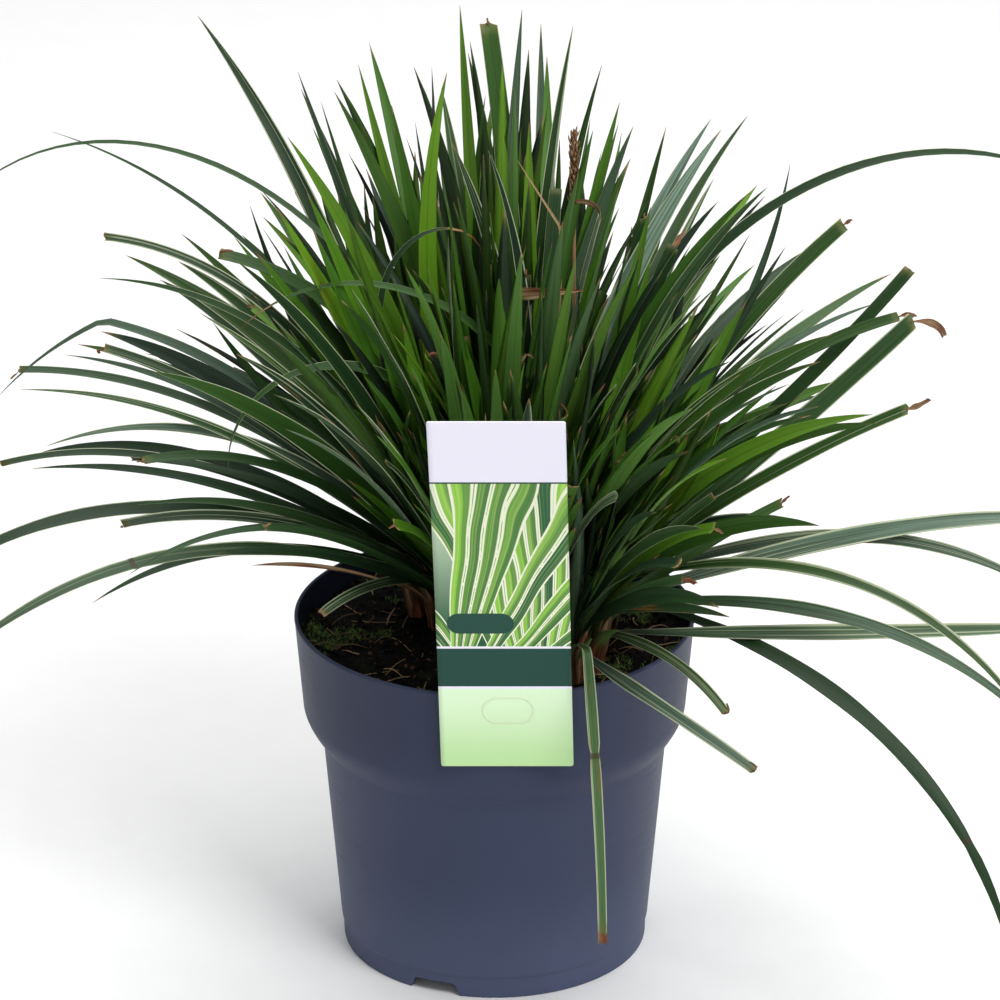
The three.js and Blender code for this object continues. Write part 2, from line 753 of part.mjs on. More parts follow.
// Side view of the label's back face, from its foot up, as [y, z]. It lies along the band
// up to the rim and then bends forward.
function labelBack() {
  const step = LABEL.height / LABEL.steps;
  const aboveRim = LABEL.height - (POT.height - LABEL.footHeight);
  let z = LABEL.footHeight;
  let y = -(potRadius(z) + CLEARANCE);
  const points = [[y, z]];
  for (let i = 0; i < LABEL.steps; i += 1) {
    const above = Math.max(z + step / 2 - POT.height, 0) / aboveRim;
    const slope = radians(LABEL.bandSlope + (LABEL.topSlope - LABEL.bandSlope) * above);
    y -= step * Math.sin(slope);
    z += step * Math.cos(slope);
    points.push([y, z]);
  }
  return points;
}

// The label's back face at a height.
function labelY(height) {
  const back = labelBack();
  for (let i = 1; i < back.length; i += 1) {
    const [[y0, z0], [y1, z1]] = [back[i - 1], back[i]];
    if (height <= z1) return y0 + ((y1 - y0) * Math.max(height - z0, 0)) / (z1 - z0);
  }
  return back[back.length - 1][0];
}

// A side view outline of [y, z] points, given a width along X.
function extrudedAcross(outline, width) {
  const shape = new THREE.Shape(outline.map(([y, z]) => new THREE.Vector2(y, z)));
  const strip = new THREE.ExtrudeGeometry(shape, { depth: width, bevelEnabled: false });
  strip.translate(0, 0, -width / 2);
  return strip.rotateX(Math.PI / 2).rotateZ(Math.PI / 2);
}

function labelSolid() {
  const back = labelBack();
  const front = back.map(([y, z]) => [y - LABEL.thickness, z]);
  const strip = solidOf(extrudedAcross([...back, ...front.reverse()], LABEL.width));
  // the hook goes back over the rim and down inside it
  const t = LABEL.thickness;
  const over = POT.height + CLEARANCE;
  const reach = LABEL.middleX + LABEL.hookWidth / 2;
  const innerWall = potRadius(over - LABEL.hookDepth) - POT.wall;
  const inside = 3 * CLEARANCE - Math.sqrt(innerWall ** 2 - reach ** 2);
  const rimBack = labelY(over);
  const hook = solidOf(
    extrudedAcross(
      [
        [rimBack - t / 2, over],
        [inside, over],
        [inside, over - LABEL.hookDepth],
        [inside + t, over - LABEL.hookDepth],
        [inside + t, over + t],
        [rimBack - t / 2, over + t],
      ],
      LABEL.hookWidth,
    ),
  );
  return strip.add(hook);
}

// ---------------------------------------------------------------- the whole part

const part = new THREE.Group();
const shoots = layOutShoots();

part.add(namedMesh('pot', potSolid(), FINISHES.pot));
part.add(namedMesh('soil', soilSolid(shoots), FINISHES.soil));

const label = namedMesh('label', labelSolid(), FINISHES.label);
label.position.set(LABEL.middleX, 0, 0);
part.add(label);

part.add(namedMesh('flower_spike', spikeSolid(), FINISHES.spike));
DRY_LEAVES.forEach((leaf, i) => {
  part.add(namedMesh(`dry_leaf_${i + 1}`, dryLeafSolid(leaf), FINISHES.dryLeaf));
});

const leaves = markedLeaves(shoots);
const lone = [FLOWER_SPIKE, ...DRY_LEAVES].map((stalk, i) => ({
  shoot: `lone ${i}`,
  width: stalk.width ?? 2 * stalk.spikeRadius,
  line: loneStalk(stalk),
}));
for (const shoot of shoots) leaves.push(...fillLeaves(shoot, [...lone, ...leaves]));

shoots.forEach((shoot, i) => {
  const name = `shoot_${String(i + 1).padStart(2, '0')}`;
  part.add(namedMesh(name, shootSolid(shoot, leaves), FINISHES.blades[i % 3]));
});

export default part;
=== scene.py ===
"""Looks of a variegated sedge in its nursery pot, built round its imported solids.

Shapes are worked out in millimetres and degrees, +Z up, in the frame of the solids: the origin
is the middle of the pot's foot and -Y is the front, where the label hangs. make_piece turns
millimetres into metres.
"""

import math
from types import SimpleNamespace as Sizes

import bpy
import numpy as np
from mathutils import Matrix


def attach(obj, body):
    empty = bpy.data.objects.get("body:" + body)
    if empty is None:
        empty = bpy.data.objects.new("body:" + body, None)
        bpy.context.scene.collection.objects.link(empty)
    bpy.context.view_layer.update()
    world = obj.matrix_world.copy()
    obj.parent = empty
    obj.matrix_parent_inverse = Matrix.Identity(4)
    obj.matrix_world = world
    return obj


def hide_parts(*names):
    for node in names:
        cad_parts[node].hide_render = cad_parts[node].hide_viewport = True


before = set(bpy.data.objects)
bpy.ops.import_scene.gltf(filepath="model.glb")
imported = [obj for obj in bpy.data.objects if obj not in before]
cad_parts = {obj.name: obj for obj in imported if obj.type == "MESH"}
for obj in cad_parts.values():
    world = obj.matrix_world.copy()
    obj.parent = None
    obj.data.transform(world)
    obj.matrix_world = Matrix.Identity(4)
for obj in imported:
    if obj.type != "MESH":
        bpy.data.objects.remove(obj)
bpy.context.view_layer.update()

MM = 0.001
GOLDEN_ANGLE = 137.508

# ---------------------------------------------------------------- sizes

POT = Sizes(
    height=168.4, rim_radius=95, band_top=166.4, band_foot=121.9, band_foot_radius=91.1,
    body_top=105.8, body_top_radius=82.1, body_foot=11.2, body_foot_radius=74.2,
    crease_height=10.4, ring_radius=73.1, ring_thickness=2.4, wall=1.6, floor_underside=7.4,
    floor=2, rim_inset=0.2, columns=360, shoulder_steps=14,
)
SHOULDER_BEND = (89.8, 115.4)  # control point of the rounded shoulder, as radius and height
# Rows of (distance beyond a radius, height): the foot ring's inside down to the ground, its
# outer edge, its outside up to the crease, and the rim's lip above the band.
RING_INSIDE = [(-0.6, POT.floor_underside), (-0.5, 6.2), (-0.3, 3), (0, 0.3), (0.3, 0)]
RING_EDGE = [(-0.6, 0), (-0.15, 0.25)]
RING_OUTSIDE = [(0, 0.8), (0.1, 3), (0.15, 5.2), (0.2, 7), (0.3, POT.crease_height - 0.3),
                (0.35, POT.crease_height)]
RIM_LIP = [(0, 0), (0.2, 0.6), (0.16, 1.2), (-0.1, 1.7), (-0.6, 2.0), (-1.2, 2.0), (-1.6, 1.7),
           (-1.78, 1.2), (-1.8, 0.6)]
NOTCH = Sizes(width=25.5, top_width=20, height=6.2, azimuths=(-113, 7, 127))
DRAIN_HOLE = Sizes(radius=5, ring_radius=48, count=6, below=2, above=4, sides=24)

SOIL = Sizes(
    edge_height=154.5, top_height=157.5, flat_radius=76, columns=300, rows=110, row_power=0.8,
    gap=0.05, lumps=[(19, 4.4), (8, 2.6), (3.5, 1.5), (1.6, 0.9)],  # pairs of size and height
)
CRUMBS = Sizes(
    seed=5, count=2600, size=0.45, larger=1.9, larger_power=4, stretch=(0.5, 1.3),
    uneven=(0.7, 1.2), raised=0.2,
)
FIBRES = Sizes(
    seed=9, count=150, curl=40, steps=8, length=(6, 26), follows_soil=0.35, raised=0.5,
    arch=(0, 2.5), radius=(0.18, 0.5), thinner=0.5, sides=5,
)
MOSS = Sizes(
    seed=12, count=9000, patches=[(17, 1, 21), (6, 0.5, 22)],  # size, share and seed of each
    grown_from=0.16, leaflets=4, spread=0.5, tilt=(0.2, 1.1), width=(0.2, 0.4),
    length=(1.2, 3.0), sunk=0.2,
)

CLUMP = Sizes(
    middle=np.array([6.0, 9.0]), radius=52, count=41, bare_from=180, bare_to=222,
    bare_beyond=0.75, runners=[(37, -58), (23, -50), (45, -43)], collar=158,
    lean_inside=5, lean_outside=68, lean_power=1.15, lean_up_to=1.2, steeper=0.5,
)
STEM = Sizes(
    radius=4.4, straight=8, neck=3.4, neck_at=20, tip_at=36, sunk=13.6, leaf_side=3.4,
    full_side=12, lean=12, sides=16, rings=14, tip_radius=0.3, girth=0.94, ridge=0.06, ridges=3,
    ridge_turn=0.05,
)
BLADE = Sizes(
    stations=24, fine_stations=42, thickness=1.25, start=6, start_step=1.5, base_share=0.22,
    full_from=0.45, tip_power=4, tip_round=0.9, cut_taper=0.35, turning=50, turning_less=30,
    bend_power=1.8, sweep_power=1.5, facing=35, facing_upright=30, per_shoot=6,
    least_per_shoot=4, skin=0.42,
)
FILL = Sizes(
    seed=340, lean=0.68, lean_left=0.12, lean_spread=0.55, lean_from=0.4, reach=10,
    share_up_to=1.15, start_step=0.75, longest=285, shorter_outside=60, length_spread=70,
    width=8, width_spread=4, bend_inside=14, bend_outside=34, bend_spread=14, roll_spread=80,
    twist_spread=50, cut_share=0.16, cut_to=0.72, shortest=90, shrink=0.92, straighten=0.95,
    room=0.38, least_room=7.2, fused_to=0.08, near=12,
)
# Leaves of the same shoots that only the dressed plant has, closer together: tall ones that
# close the crown, and short ones low down inside it.
UNDERGROWTH = Sizes(
    seed=911, fewer_outside=0.55, shorter_outside=64, narrower_outside=0.4,
    shorter_front=0.0045, front_from=20, shorter_right=0.12, right_at=30, spread=19,
    share_up_to=1.1, facing=30, lean=(0.05, 0.6), left=-0.12, bend=(-8, 34), start=(2, 12),
    roll=(-50, 50), twist=(-40, 40), sweep=(-45, 45), room=0.07, least_room=1.1,
    cut_share=0.06, cut_to=0.8, no_margin=(0, 0.12), stations=18,
)
# Each kind gives its leaves painted shade from the range dim.
TALL = Sizes(number=1, count=24, length=(190, 276), width=(6, 12.5), dim=(0, 0.8), tilt=7,
             turn=15, margined=0.35, tip_power=4.2)
SHORT = Sizes(number=2, count=18, length=(105, 190), width=(4, 9), dim=(0.1, 0.85), tilt=11,
              turn=32, margined=0.15, tip_power=2.4)
ROOM = Sizes(x=292, y=182, in_shoot=0.15, soil_radius=84, standing=14, label=4, spare=1)

# How the leaves' looks vary: chances, and the ranges they are drawn from. The ranges of hang
# are for the length, width, turn and curl of a dead strip.
VARIETY = Sizes(
    seed=3000, fresh_inside=0.75, less_outside=0.6, more_in_front=0.35, front=-20,
    plain_more=0.1, fresh_tone=(0.6, 1.0), old_tone=(0, 0.3), fresh_from=0.5, margined=0.5,
    margin=(0.3, 0.9), no_margin=(0, 0.15), silver=(-0.5, 0.3), rusty=0.03, rust=0.7,
    brown_cut=(0.8, 2.2), brown_point=(0.5, 7), hanging=0.5,
    hang=[(3, 9), (1, 2.4), (-90, 90), (-240, 240)],
)
# Looks of a listed leaf where its row doesn't say, with painted shade on those from a lean on.
LISTED = Sizes(tone=0.1, dim=0.12, dim_beyond=55)
# A leaf's section: shares of its half width, and lengths along it.
SECTION = Sizes(
    least_half=0.08, neck=0.3, neck_length=3, channel=0.34, channel_power=1.4, ripple=0.06,
    ripple_length=9, skin=0.5, skin_thinner=0.7, ragged=2.2, ragged_points=6,
)
STRIP = Sizes(
    stations=14, twist=80, twist_rate=1.6, back=1.5, down=0.5, looks={"dry": 1.0, "tip": 0.9},
)
OLD_SHEATH = Sizes(
    count=3, from_axis=4.2, share=0.5, length=(22, 52), lean=(8, 34), bend=(0, 30),
    twist=(-50, 50), width=(4, 7), start=-3, stations=12, looks={"dry": 1.0, "tip": 0.5},
)

LABEL = Sizes(
    width=61, thickness=0.8, foot_height=132, band_slope=5, top_slope=30, height=200,
    middle_x=3.5, foot_x=6.0, top_x=0.8, hook_width=24, hook_depth=12.5, steps=14,
    corner=1.2, corner_steps=(0, 0.03, 0.12, 0.3, 0.6, 1), rows=90, columns=25,
    clearance=0.35,
)

# Leaves that give the clump its outline, one row each: shoot, heading, lean, bend, length,
# width, end, and for some the sideways sweep, the place and angle of a fold, or their looks.
# Of the looks, tone is 0 for a dark and 1 for a fresh leaf, stripe the width of its pale
# margins, silver the strength of its painted silver sheen, rust its brown patches, mark
# the height of a ring mark on it, tip the share of its length from which it is brown, dry how
# withered it is, and hang the length, width, turn and curl of a dead strip at its end.
MARKED_LEAVES = [
    # left side, from the top down
    (17, 140, 20, 30, 310, 9.5, "point"),
    (1, 165, 12, 140, 425, 3, "point"),
    (9, 175, 22, 52, 315, 3, "point"),
    (30, 180, 14, 70, 255, 6.5, "cut"),
    (4, 190, 10, 65, 240, 9, "cut", {"hang": (9, 2, -60, -150)}),
    (12, 190, 20, 65, 265, 5.5, "point"),
    (17, 180, 35, 65, 290, 5.5, "point", {"fold_at": 225, "fold": 40}),
    (17, 190, 40, 30, 220, 6.5, "cut"),
    (30, 190, 38, 42, 225, 5.5, "point"),
    (12, 200, 43, 40, 262, 5.5, "point"),
    (17, 205, 40, 62, 245, 6.5, "point"),
    (12, 210, 40, 50, 210, 7.5, "cut"),
    (30, 200, 60, 90, 325, 8, "point", {"stripe": 0.5}),
    (17, 200, 60, 35, 175, 8, "cut"),
    (12, 215, 62, 64, 310, 8, "point", {"mark": 196}),
    (12, 225, 65, 45, 100, 7.5, "cut"),
    (4, 205, 24, 5, 240, 12.5, "point", {"tone": 1.0, "rust": 0.6}),
    (9, 180, 28, 10, 215, 8, "point", {"tone": 0.7}),
    # upright leaves, left to right
    (27, 180, 18, 0, 270, 6, "point"),
    (6, 135, 30, 5, 260, 8, "point"),
    (1, 140, 19, 0, 265, 8, "point", {"tone": 0.7}),
    (14, 110, 28, 20, 278, 10.5, "point", {"tone": 0.8}),
    (4, 185, 13, -26, 270, 12, "point", {"tone": 1.0}),
    (1, 105, 14, 0, 284, 8, "point", {"tone": 0.7}),
    (11, 120, 0, 17, 280, 12.5, "cut", {"tone": 0.5, "stripe": 0.3}),
    (15, 270, 3, 5, 195, 11, "point", {"tone": 1.0}),
    (5, 185, 1, 22, 245, 9.5, "point"),
    (2, 215, 9, 0, 220, 9, "point", {"tone": 1.0}),
    (8, 90, 28, 10, 268, 10.5, "point", {"tone": 1.0}),
    (6, 70, 2, 12, 285, 8, "point"),
    (3, 65, 3, 24, 280, 7, "point"),
    (24, 90, 31, 0, 275, 8.5, "point"),
    (3, 40, 11, 9, 245, 9, "point", {"tone": 0.7}),
    (16, 85, 42, 4, 212, 11, "cut", {"stripe": 0.2, "hang": (7, 3, 30, 60)}),
    (5, 320, 6, 12, 214, 10, "cut", {"stripe": 0.9, "silver": 0.5, "hang": (18, 4, -10, -110)}),
    # right side, from the top down
    (8, 30, 11, 30, 248, 10, "point", {"silver": 1.0, "stripe": 0.5}),
    (16, 35, 16, 2, 232, 7, "point"),
    (8, 5, 13, 120, 400, 5.5, "point"),
    (13, 10, 30, 20, 235, 10.5, "cut", {"hang": (8, 3, 20, 90)}),
    (21, 355, 47, -10, 236, 9, "cut"),
    (26, 350, 48, -6, 225, 12.5, "cut", {"hang": (42, 4.5, 78, 42), "stripe": 0.6}),
    (13, 355, 33, 40, 229, 8, "cut", {"hang": (11, 3, -30, 140)}),
    (26, 345, 50, 12, 200, 9, "cut", {"hang": (13, 4, 15, -40)}),
    (26, 325, 48, -30, 145, 10, "point", {"tone": 1.0, "rust": 0.4}),
    (39, 0, 70, 28, 270, 10, "point", {"stripe": 0.95, "silver": 0.6, "mark": 228}),
    (34, 350, 65, 75, 264, 8, "point"),
    (26, 325, 62, 88, 288, 7, "point", {"stripe": 0.8}),
    (39, 335, 74, 68, 262, 8, "point"),
    (43, 350, 86, -4, 250, 9, "point", {"stripe": 0.9, "silver": 0.3}),
    (34, 318, 86, 88, 318, 9, "point", {"mark": 240}),
    (41, 290, 82, 30, 150, 8.5, "cut", {"sweep": 35, "stripe": 0.95, "silver": 0.35}),
    (43, 308, 78, 44, 106, 7, "cut", {"stripe": 0.7}),
    (41, 280, 70, 25, 190, 6.5, "cut", {"fold_at": 52, "fold": 80, "mark": 101, "tone": 0.6,
                                        "stripe": 0.8, "silver": 0.2, "rust": 0.5, "tip": 0.955}),
    (31, 330, 68, 26, 100, 8, "point", {"rust": 0.8}),
    (21, 15, 39, -30, 238, 5, "point"),
    # back
    (40, 90, 64, 40, 134, 9, "point"),
]
# Leaves and stalks that only the dressed plant has, in rows like those above. late is how late
# along its length a leaf bends.
STRAY_LEAVES = [
    # thin ones that arch over the others, a dry stalk, and a folded brown leaf
    (20, 5, -20, 200, 250, 4, "point", {"late": 5.5, "tip": 0.9, "stripe": 0.3}),
    (31, 182, -12, 150, 290, 4.5, "point", {"late": 1.7, "stripe": 0.2, "tone": 0.3, "tip": 0.93}),
    (20, 195, -16, 200, 250, 6, "point", {"late": 1.8, "stripe": 0.3, "tone": 0.4}),
    (18, 175, -2, 0, 245, 2.4, "point", {"fold_at": 202, "fold": 34, "dry": 1.5}),
    (23, 10, -3, 0, 207, 13, "point", {"fold_at": 177, "fold": 93, "roll": 45, "tip": 0.84,
                                       "stripe": 0.0}),
    # pale and cut ones at the top
    (10, 25, 10, 32, 258, 12, "point", {"late": 1.5, "silver": 1.0, "stripe": 0.5, "tone": 0.1}),
    (23, 180, -5, 26, 245, 9, "point", {"late": 2.4, "stripe": 0.9, "tone": 0.0, "roll": 25}),
    (10, 60, 5, 4, 214, 10, "cut", {"tone": 0.0, "stripe": 0.3, "roll": 20}),
    (10, 90, 3, 0, 245, 10, "point", {"tone": 0.9}),
    (23, 270, -4, 0, 180, 9, "cut", {"stripe": 0.6, "hang": (9, 4, 20, 120)}),
    (3, 60, 2, 0, 193, 7, "cut", {"stripe": 0.0}),
    (21, 30, 4, 16, 196, 6, "cut", {"hang": (7, 3, 40, 150)}),
    (21, 10, 8, 16, 186, 9, "cut", {"stripe": 0.2, "hang": (18, 5, 60, 20)}),
    # thin dark ones on the left
    (12, 205, 50, 40, 190, 6, "point", {"stripe": 0.3}),
    (28, 215, 46, 30, 150, 6, "cut", {"stripe": 0.0}),
    (20, 212, 56, 30, 150, 7, "point", {"stripe": 0.0}),
    (30, 195, 50, 50, 235, 5.5, "cut", {"stripe": 0.5}),
    (17, 196, 54, 36, 225, 6, "point", {"stripe": 0.0}),
    (35, 180, 48, 44, 240, 6, "cut", {"stripe": 0.3}),
    (12, 218, 50, 60, 215, 5, "point", {"stripe": 0.2}),
    (30, 210, 64, 50, 190, 6, "point", {"stripe": 0.4}),
    # fresh ones in front and at the sides
    (12, 190, 16, 8, 228, 11, "point", {"tone": 1.0}),
    (20, 195, 18, 4, 215, 11, "point", {"tone": 0.9}),
    (12, 195, 24, 12, 215, 10, "point", {"tone": 0.8}),
    (20, 200, 14, 4, 170, 11, "point", {"tone": 1.0}),
    (28, 190, 12, 0, 165, 12, "point", {"tone": 0.9}),
    (28, 200, 24, 0, 125, 11, "point", {"tone": 1.0}),
    (9, 150, 4, 6, 215, 12, "point", {"tone": 0.9}),
    (14, 160, 8, 4, 245, 9, "point", {"tone": 0.8}),
    (31, 20, 14, 0, 190, 10, "point", {"tone": 0.9}),
    (39, 10, 24, 4, 180, 10, "point", {"tone": 0.8}),
    (18, 20, 13, 0, 210, 9, "point", {"tone": 0.8}),
    (43, 350, 24, 0, 125, 10, "point", {"tone": 0.9}),
    (41, 20, 12, 0, 125, 10, "point", {"tone": 0.8}),
    (10, 120, 6, 5, 182, 10, "point", {"tone": 1.0}),
    (23, 200, 9, 6, 165, 11, "point", {"tone": 1.0}),
    (31, 20, 24, 8, 150, 10, "point", {"tone": 0.9}),
    (36, 200, 22, 10, 130, 9, "point", {"tone": 0.8}),
    # low ones near the pot
    (28, 215, 34, 16, 120, 8, "point", {"tone": 1.0}),
    (20, 222, 40, 10, 105, 9, "point", {"tone": 0.9}),
    (28, 240, 28, 24, 105, 7, "point", {"tone": 0.8, "rust": 0.5}),
    (41, 0, 34, 20, 110, 6, "cut", {"tone": 0.3, "stripe": 0.3}),
    (41, 330, 44, 26, 82, 8, "cut", {"tone": 0.5, "hang": (8, 4, 30, 60)}),
    (43, 0, 52, 10, 120, 7, "cut", {"tone": 0.2, "stripe": 0.2}),
]

FLOWER_SPIKE = Sizes(
    root=(37.5, 10.5), path={"heading": 95, "lean": 2, "bend": 2, "length": 250}, width=5,
    culm_radius=0.95, culm_sides=8, spike_radius=2.5, spike_from=0.83, filled=0.97,
    scales=110, scale_length=(3.0, 6.0), scale_width=(1.2, 2.0), scale_spread=(0.05, 0.45),
    scale_stations=4, sunk=8, stations=60, seed=77,
)
DRY_LEAVES = [
    Sizes(root=(-29, -1), width=4, seed=60, shade=0.0,
          path={"heading": 190, "lean": 64, "bend": 28, "length": 105, "twist": 150}),
    Sizes(root=(53, 20), width=4, seed=61, shade=0.3,
          path={"heading": 356, "lean": 70, "bend": 18, "length": 70, "twist": 210}),
]

CAMERA = Sizes(x=2.6, y=-2188.9, z=1152.6, pitch=22.955, focal=5058, image=1000, sensor=36,
               nearest=0.05)
# The studio in metres and watts. Each lamp has a name, a place, a size and a power.
STUDIO = Sizes(
    floor=40, sky=0.27, aim=(0, 0, 0.22),
    lamps=[("key", (0.9, -1.3, 2.2), 1.0, 36), ("front", (0.1, -2.4, 1.0), 1.2, 5),
           ("top", (0.1, 0.8, 2.7), 2.8, 70)],
)


# ---------------------------------------------------------------- small helpers

def smooth(x):
    """Smooth step of x from 0 to 1."""
    t = np.clip(x, 0, 1)
    return t * t * (3 - 2 * t)


def seeded(seed):
    """Random numbers from 0 to 1, drawn as the solids' own generator draws them."""
    state = seed & 0xFFFFFFFF

    def draw():
        nonlocal state
        state = (state * 1664525 + 1013904223) & 0xFFFFFFFF
        mixed = ((state ^ (state >> 15)) * 2246822519) & 0xFFFFFFFF
        return (mixed ^ (mixed >> 13)) / 4294967296

    return draw


def lumps(x, y, size, seed, cells=64):
    """Smooth random field from -0.5 to 0.5: a square lattice of random values, that size apart,
    blended between its four nearest points with a smooth step. It repeats after its cells."""
    lattice = np.random.default_rng(seed).random((cells, cells))
    column, row = np.floor(x / size).astype(int), np.floor(y / size).astype(int)
    across, along = smooth(x / size - column), smooth(y / size - row)

    def at(i, j):
        return lattice[(column + i) % cells, (row + j) % cells]

    low = at(0, 0) * (1 - across) + at(1, 0) * across
    high = at(0, 1) * (1 - across) + at(1, 1) * across
    return low * (1 - along) + high * along - 0.5


def unit(vectors):
    """Vectors scaled to length 1."""
    return vectors / np.maximum(np.linalg.norm(vectors, axis=-1, keepdims=True), 1e-9)


def way_at(tilt, azimuth):
    """Unit vectors that lean by a tilt towards an azimuth, both in radians."""
    level = np.sin(tilt)
    return np.stack([level * np.cos(azimuth), level * np.sin(azimuth), np.cos(tilt)], 1)


def level_across(azimuth):
    """Level unit vectors at right angles to an azimuth in radians."""
    return np.stack([-np.sin(azimuth), np.cos(azimuth), np.zeros_like(azimuth)], 1)


def points_along(start, way, length):
    """Points of a line of that length, which takes up the ways one after the other, evenly."""
    moves = (way[1:] + way[:-1]) * length / (len(way) - 1) / 2
    return start + np.concatenate([np.zeros((1, 3)), np.cumsum(moves, 0)])


def grid_quads(rows, columns, wrap=False):
    """Corner numbers of the cells of a grid of points, each cell turned so that its normal is
    (next row) x (next column). With wrap the last column joins the first."""
    cells = columns if wrap else columns - 1
    i, j = np.meshgrid(np.arange(rows - 1), np.arange(cells), indexing="ij")
    here, beside = i * columns + j, i * columns + (j + 1) % columns
    return np.stack([here, here + columns, beside + columns, beside], -1).reshape(-1, 4)


def closed_grid(rows, columns, inside_out=False):
    """Faces of a grid of points whose last column joins the first, with one flat face over its
    first row and one over its last. Inside out, every face is turned round."""
    first = np.arange(columns)[None]
    last = ((rows - 1) * columns + np.arange(columns))[None, ::-1]
    faces = [grid_quads(rows, columns, wrap=True), first, last]
    return [face_set[:, ::-1] for face_set in faces] if inside_out else faces


class Patch:
    """Points, faces and named per-point values of one surface, in millimetres."""

    def __init__(self, points, faces, uv=None, slot=0, **values):
        self.points = np.asarray(points, float).reshape(-1, 3)
        self.faces = [np.asarray(face_set, int) for face_set in faces]
        self.uv = np.zeros((len(self.points), 2)) if uv is None else np.asarray(uv).reshape(-1, 2)
        self.slot = slot
        self.values = {
            name: np.broadcast_to(np.asarray(value, float).ravel(), (len(self.points),))
            for name, value in values.items()
        }


def make_piece(name, patches, finishes, nodes=(), flat=False):
    """One mesh object of all the patches. It rides on the part's body and stands for the nodes."""
    offsets = np.cumsum([0] + [len(patch.points) for patch in patches[:-1]])
    face_sets = [
        (face_set + offset, patch.slot)
        for patch, offset in zip(patches, offsets)
        for face_set in patch.faces
    ]
    sizes = np.concatenate([np.full(len(faces), faces.shape[1]) for faces, _ in face_sets])
    corners = np.concatenate([faces.ravel() for faces, _ in face_sets])
    slots = np.concatenate([np.full(len(faces), index) for faces, index in face_sets])
    points = np.concatenate([patch.points for patch in patches]) * MM

    mesh = bpy.data.meshes.new(name)
    mesh.vertices.add(len(points))
    mesh.vertices.foreach_set("co", points.astype(np.float32).ravel())
    mesh.loops.add(len(corners))
    mesh.loops.foreach_set("vertex_index", corners.astype(np.int32))
    mesh.polygons.add(len(sizes))
    starts = np.concatenate([[0], np.cumsum(sizes)[:-1]])
    mesh.polygons.foreach_set("loop_start", starts.astype(np.int32))
    mesh.polygons.foreach_set("material_index", slots.astype(np.int32))
    mesh.polygons.foreach_set("use_smooth", np.full(len(sizes), not flat))
    uv = np.concatenate([patch.uv for patch in patches])
    layer = mesh.uv_layers.new(name="UVMap")
    layer.data.foreach_set("uv", uv[corners].astype(np.float32).ravel())
    for key in patches[0].values:
        values = np.concatenate([patch.values[key] for patch in patches])
        attribute = mesh.attributes.new(key, "FLOAT", "POINT")
        attribute.data.foreach_set("value", values.astype(np.float32))
    mesh.update(calc_edges=True)
    mesh.validate()
    for finish in finishes:
        mesh.materials.append(finish)

    piece = bpy.data.objects.new(name, mesh)
    bpy.context.scene.collection.objects.link(piece)
    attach(piece, "root")
    if nodes:
        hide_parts(*nodes)
    return piece


def closed_rings(rings, first_pole, last_pole):
    """Closed surface over rings of equally many points, with one point at either end."""
    rows, columns = rings.shape[:2]
    points = np.concatenate([rings.reshape(-1, 3), [first_pole, last_pole]])
    here = np.arange(columns)
    beside = (here + 1) % columns
    top = (rows - 1) * columns
    first = np.stack([np.full(columns, rows * columns), here, beside], 1)
    last = np.stack([top + here, np.full(columns, rows * columns + 1), top + beside], 1)
    return Patch(points, [grid_quads(rows, columns, wrap=True), first, last])


def turned(profile, columns, lift):
    """Surface of revolution of a profile of (radius, height) rows that starts and ends on the
    axis, with its outside on the left of its way. lift changes the heights by azimuth."""
    profile = np.asarray(profile, float)
    azimuth = np.linspace(0, 2 * np.pi, columns, endpoint=False)
    radius, height = (np.repeat(profile[1:-1, k:k + 1], columns, 1) for k in (0, 1))
    height = lift(height, np.degrees(azimuth)[None, :])
    rings = np.stack([radius * np.cos(azimuth), radius * np.sin(azimuth), height], -1)
    return closed_rings(rings, [0, 0, profile[0, 1]], [0, 0, profile[-1, 1]])


def tube(centre, across, up, radius, sides, **values):
    """Closed tube round a line: circles in the plane of across and up, with flat ends. The
    radius is one per station, or one per point."""
    angle = np.linspace(0, 2 * np.pi, sides, endpoint=False)
    radius = np.asarray(radius, float).reshape(len(centre), -1)
    ring = across[:, None] * (radius * np.cos(angle))[..., None]
    ring = ring + up[:, None] * (radius * np.sin(angle))[..., None]
    points = centre[:, None] + ring
    share = np.stack(np.broadcast_arrays(
        angle[None, :] / (2 * np.pi), np.linspace(0, 1, len(centre))[:, None]), -1)
    return Patch(points, closed_grid(len(centre), sides, inside_out=True), share, **values)


# ---------------------------------------------------------------- shader expressions

def colour(code):
    """Linear colour of an sRGB hex code such as "3f6428"."""
    channels = [int(code[k:k + 2], 16) / 255 for k in (0, 2, 4)]
    linear = [c / 12.92 if c <= 0.04045 else ((c + 0.055) / 1.055) ** 2.4 for c in channels]
    return (*linear, 1.0)


class Signal:
    """A shader socket in an expression: each operator adds one Math node."""

    def __init__(self, finish, socket):
        self.finish = finish
        self.socket = socket

    def __add__(self, other):
        return self.finish.math("ADD", self, other)

    def __sub__(self, other):
        return self.finish.math("SUBTRACT", self, other)

    def __rsub__(self, other):
        return self.finish.math("SUBTRACT", other, self)

    def __mul__(self, other):
        return self.finish.math("MULTIPLY", self, other)

    def __abs__(self):
        return self.finish.math("ABSOLUTE", self)

    def __gt__(self, other):
        return self.finish.math("GREATER_THAN", self, other)

    __radd__ = __add__
    __rmul__ = __mul__


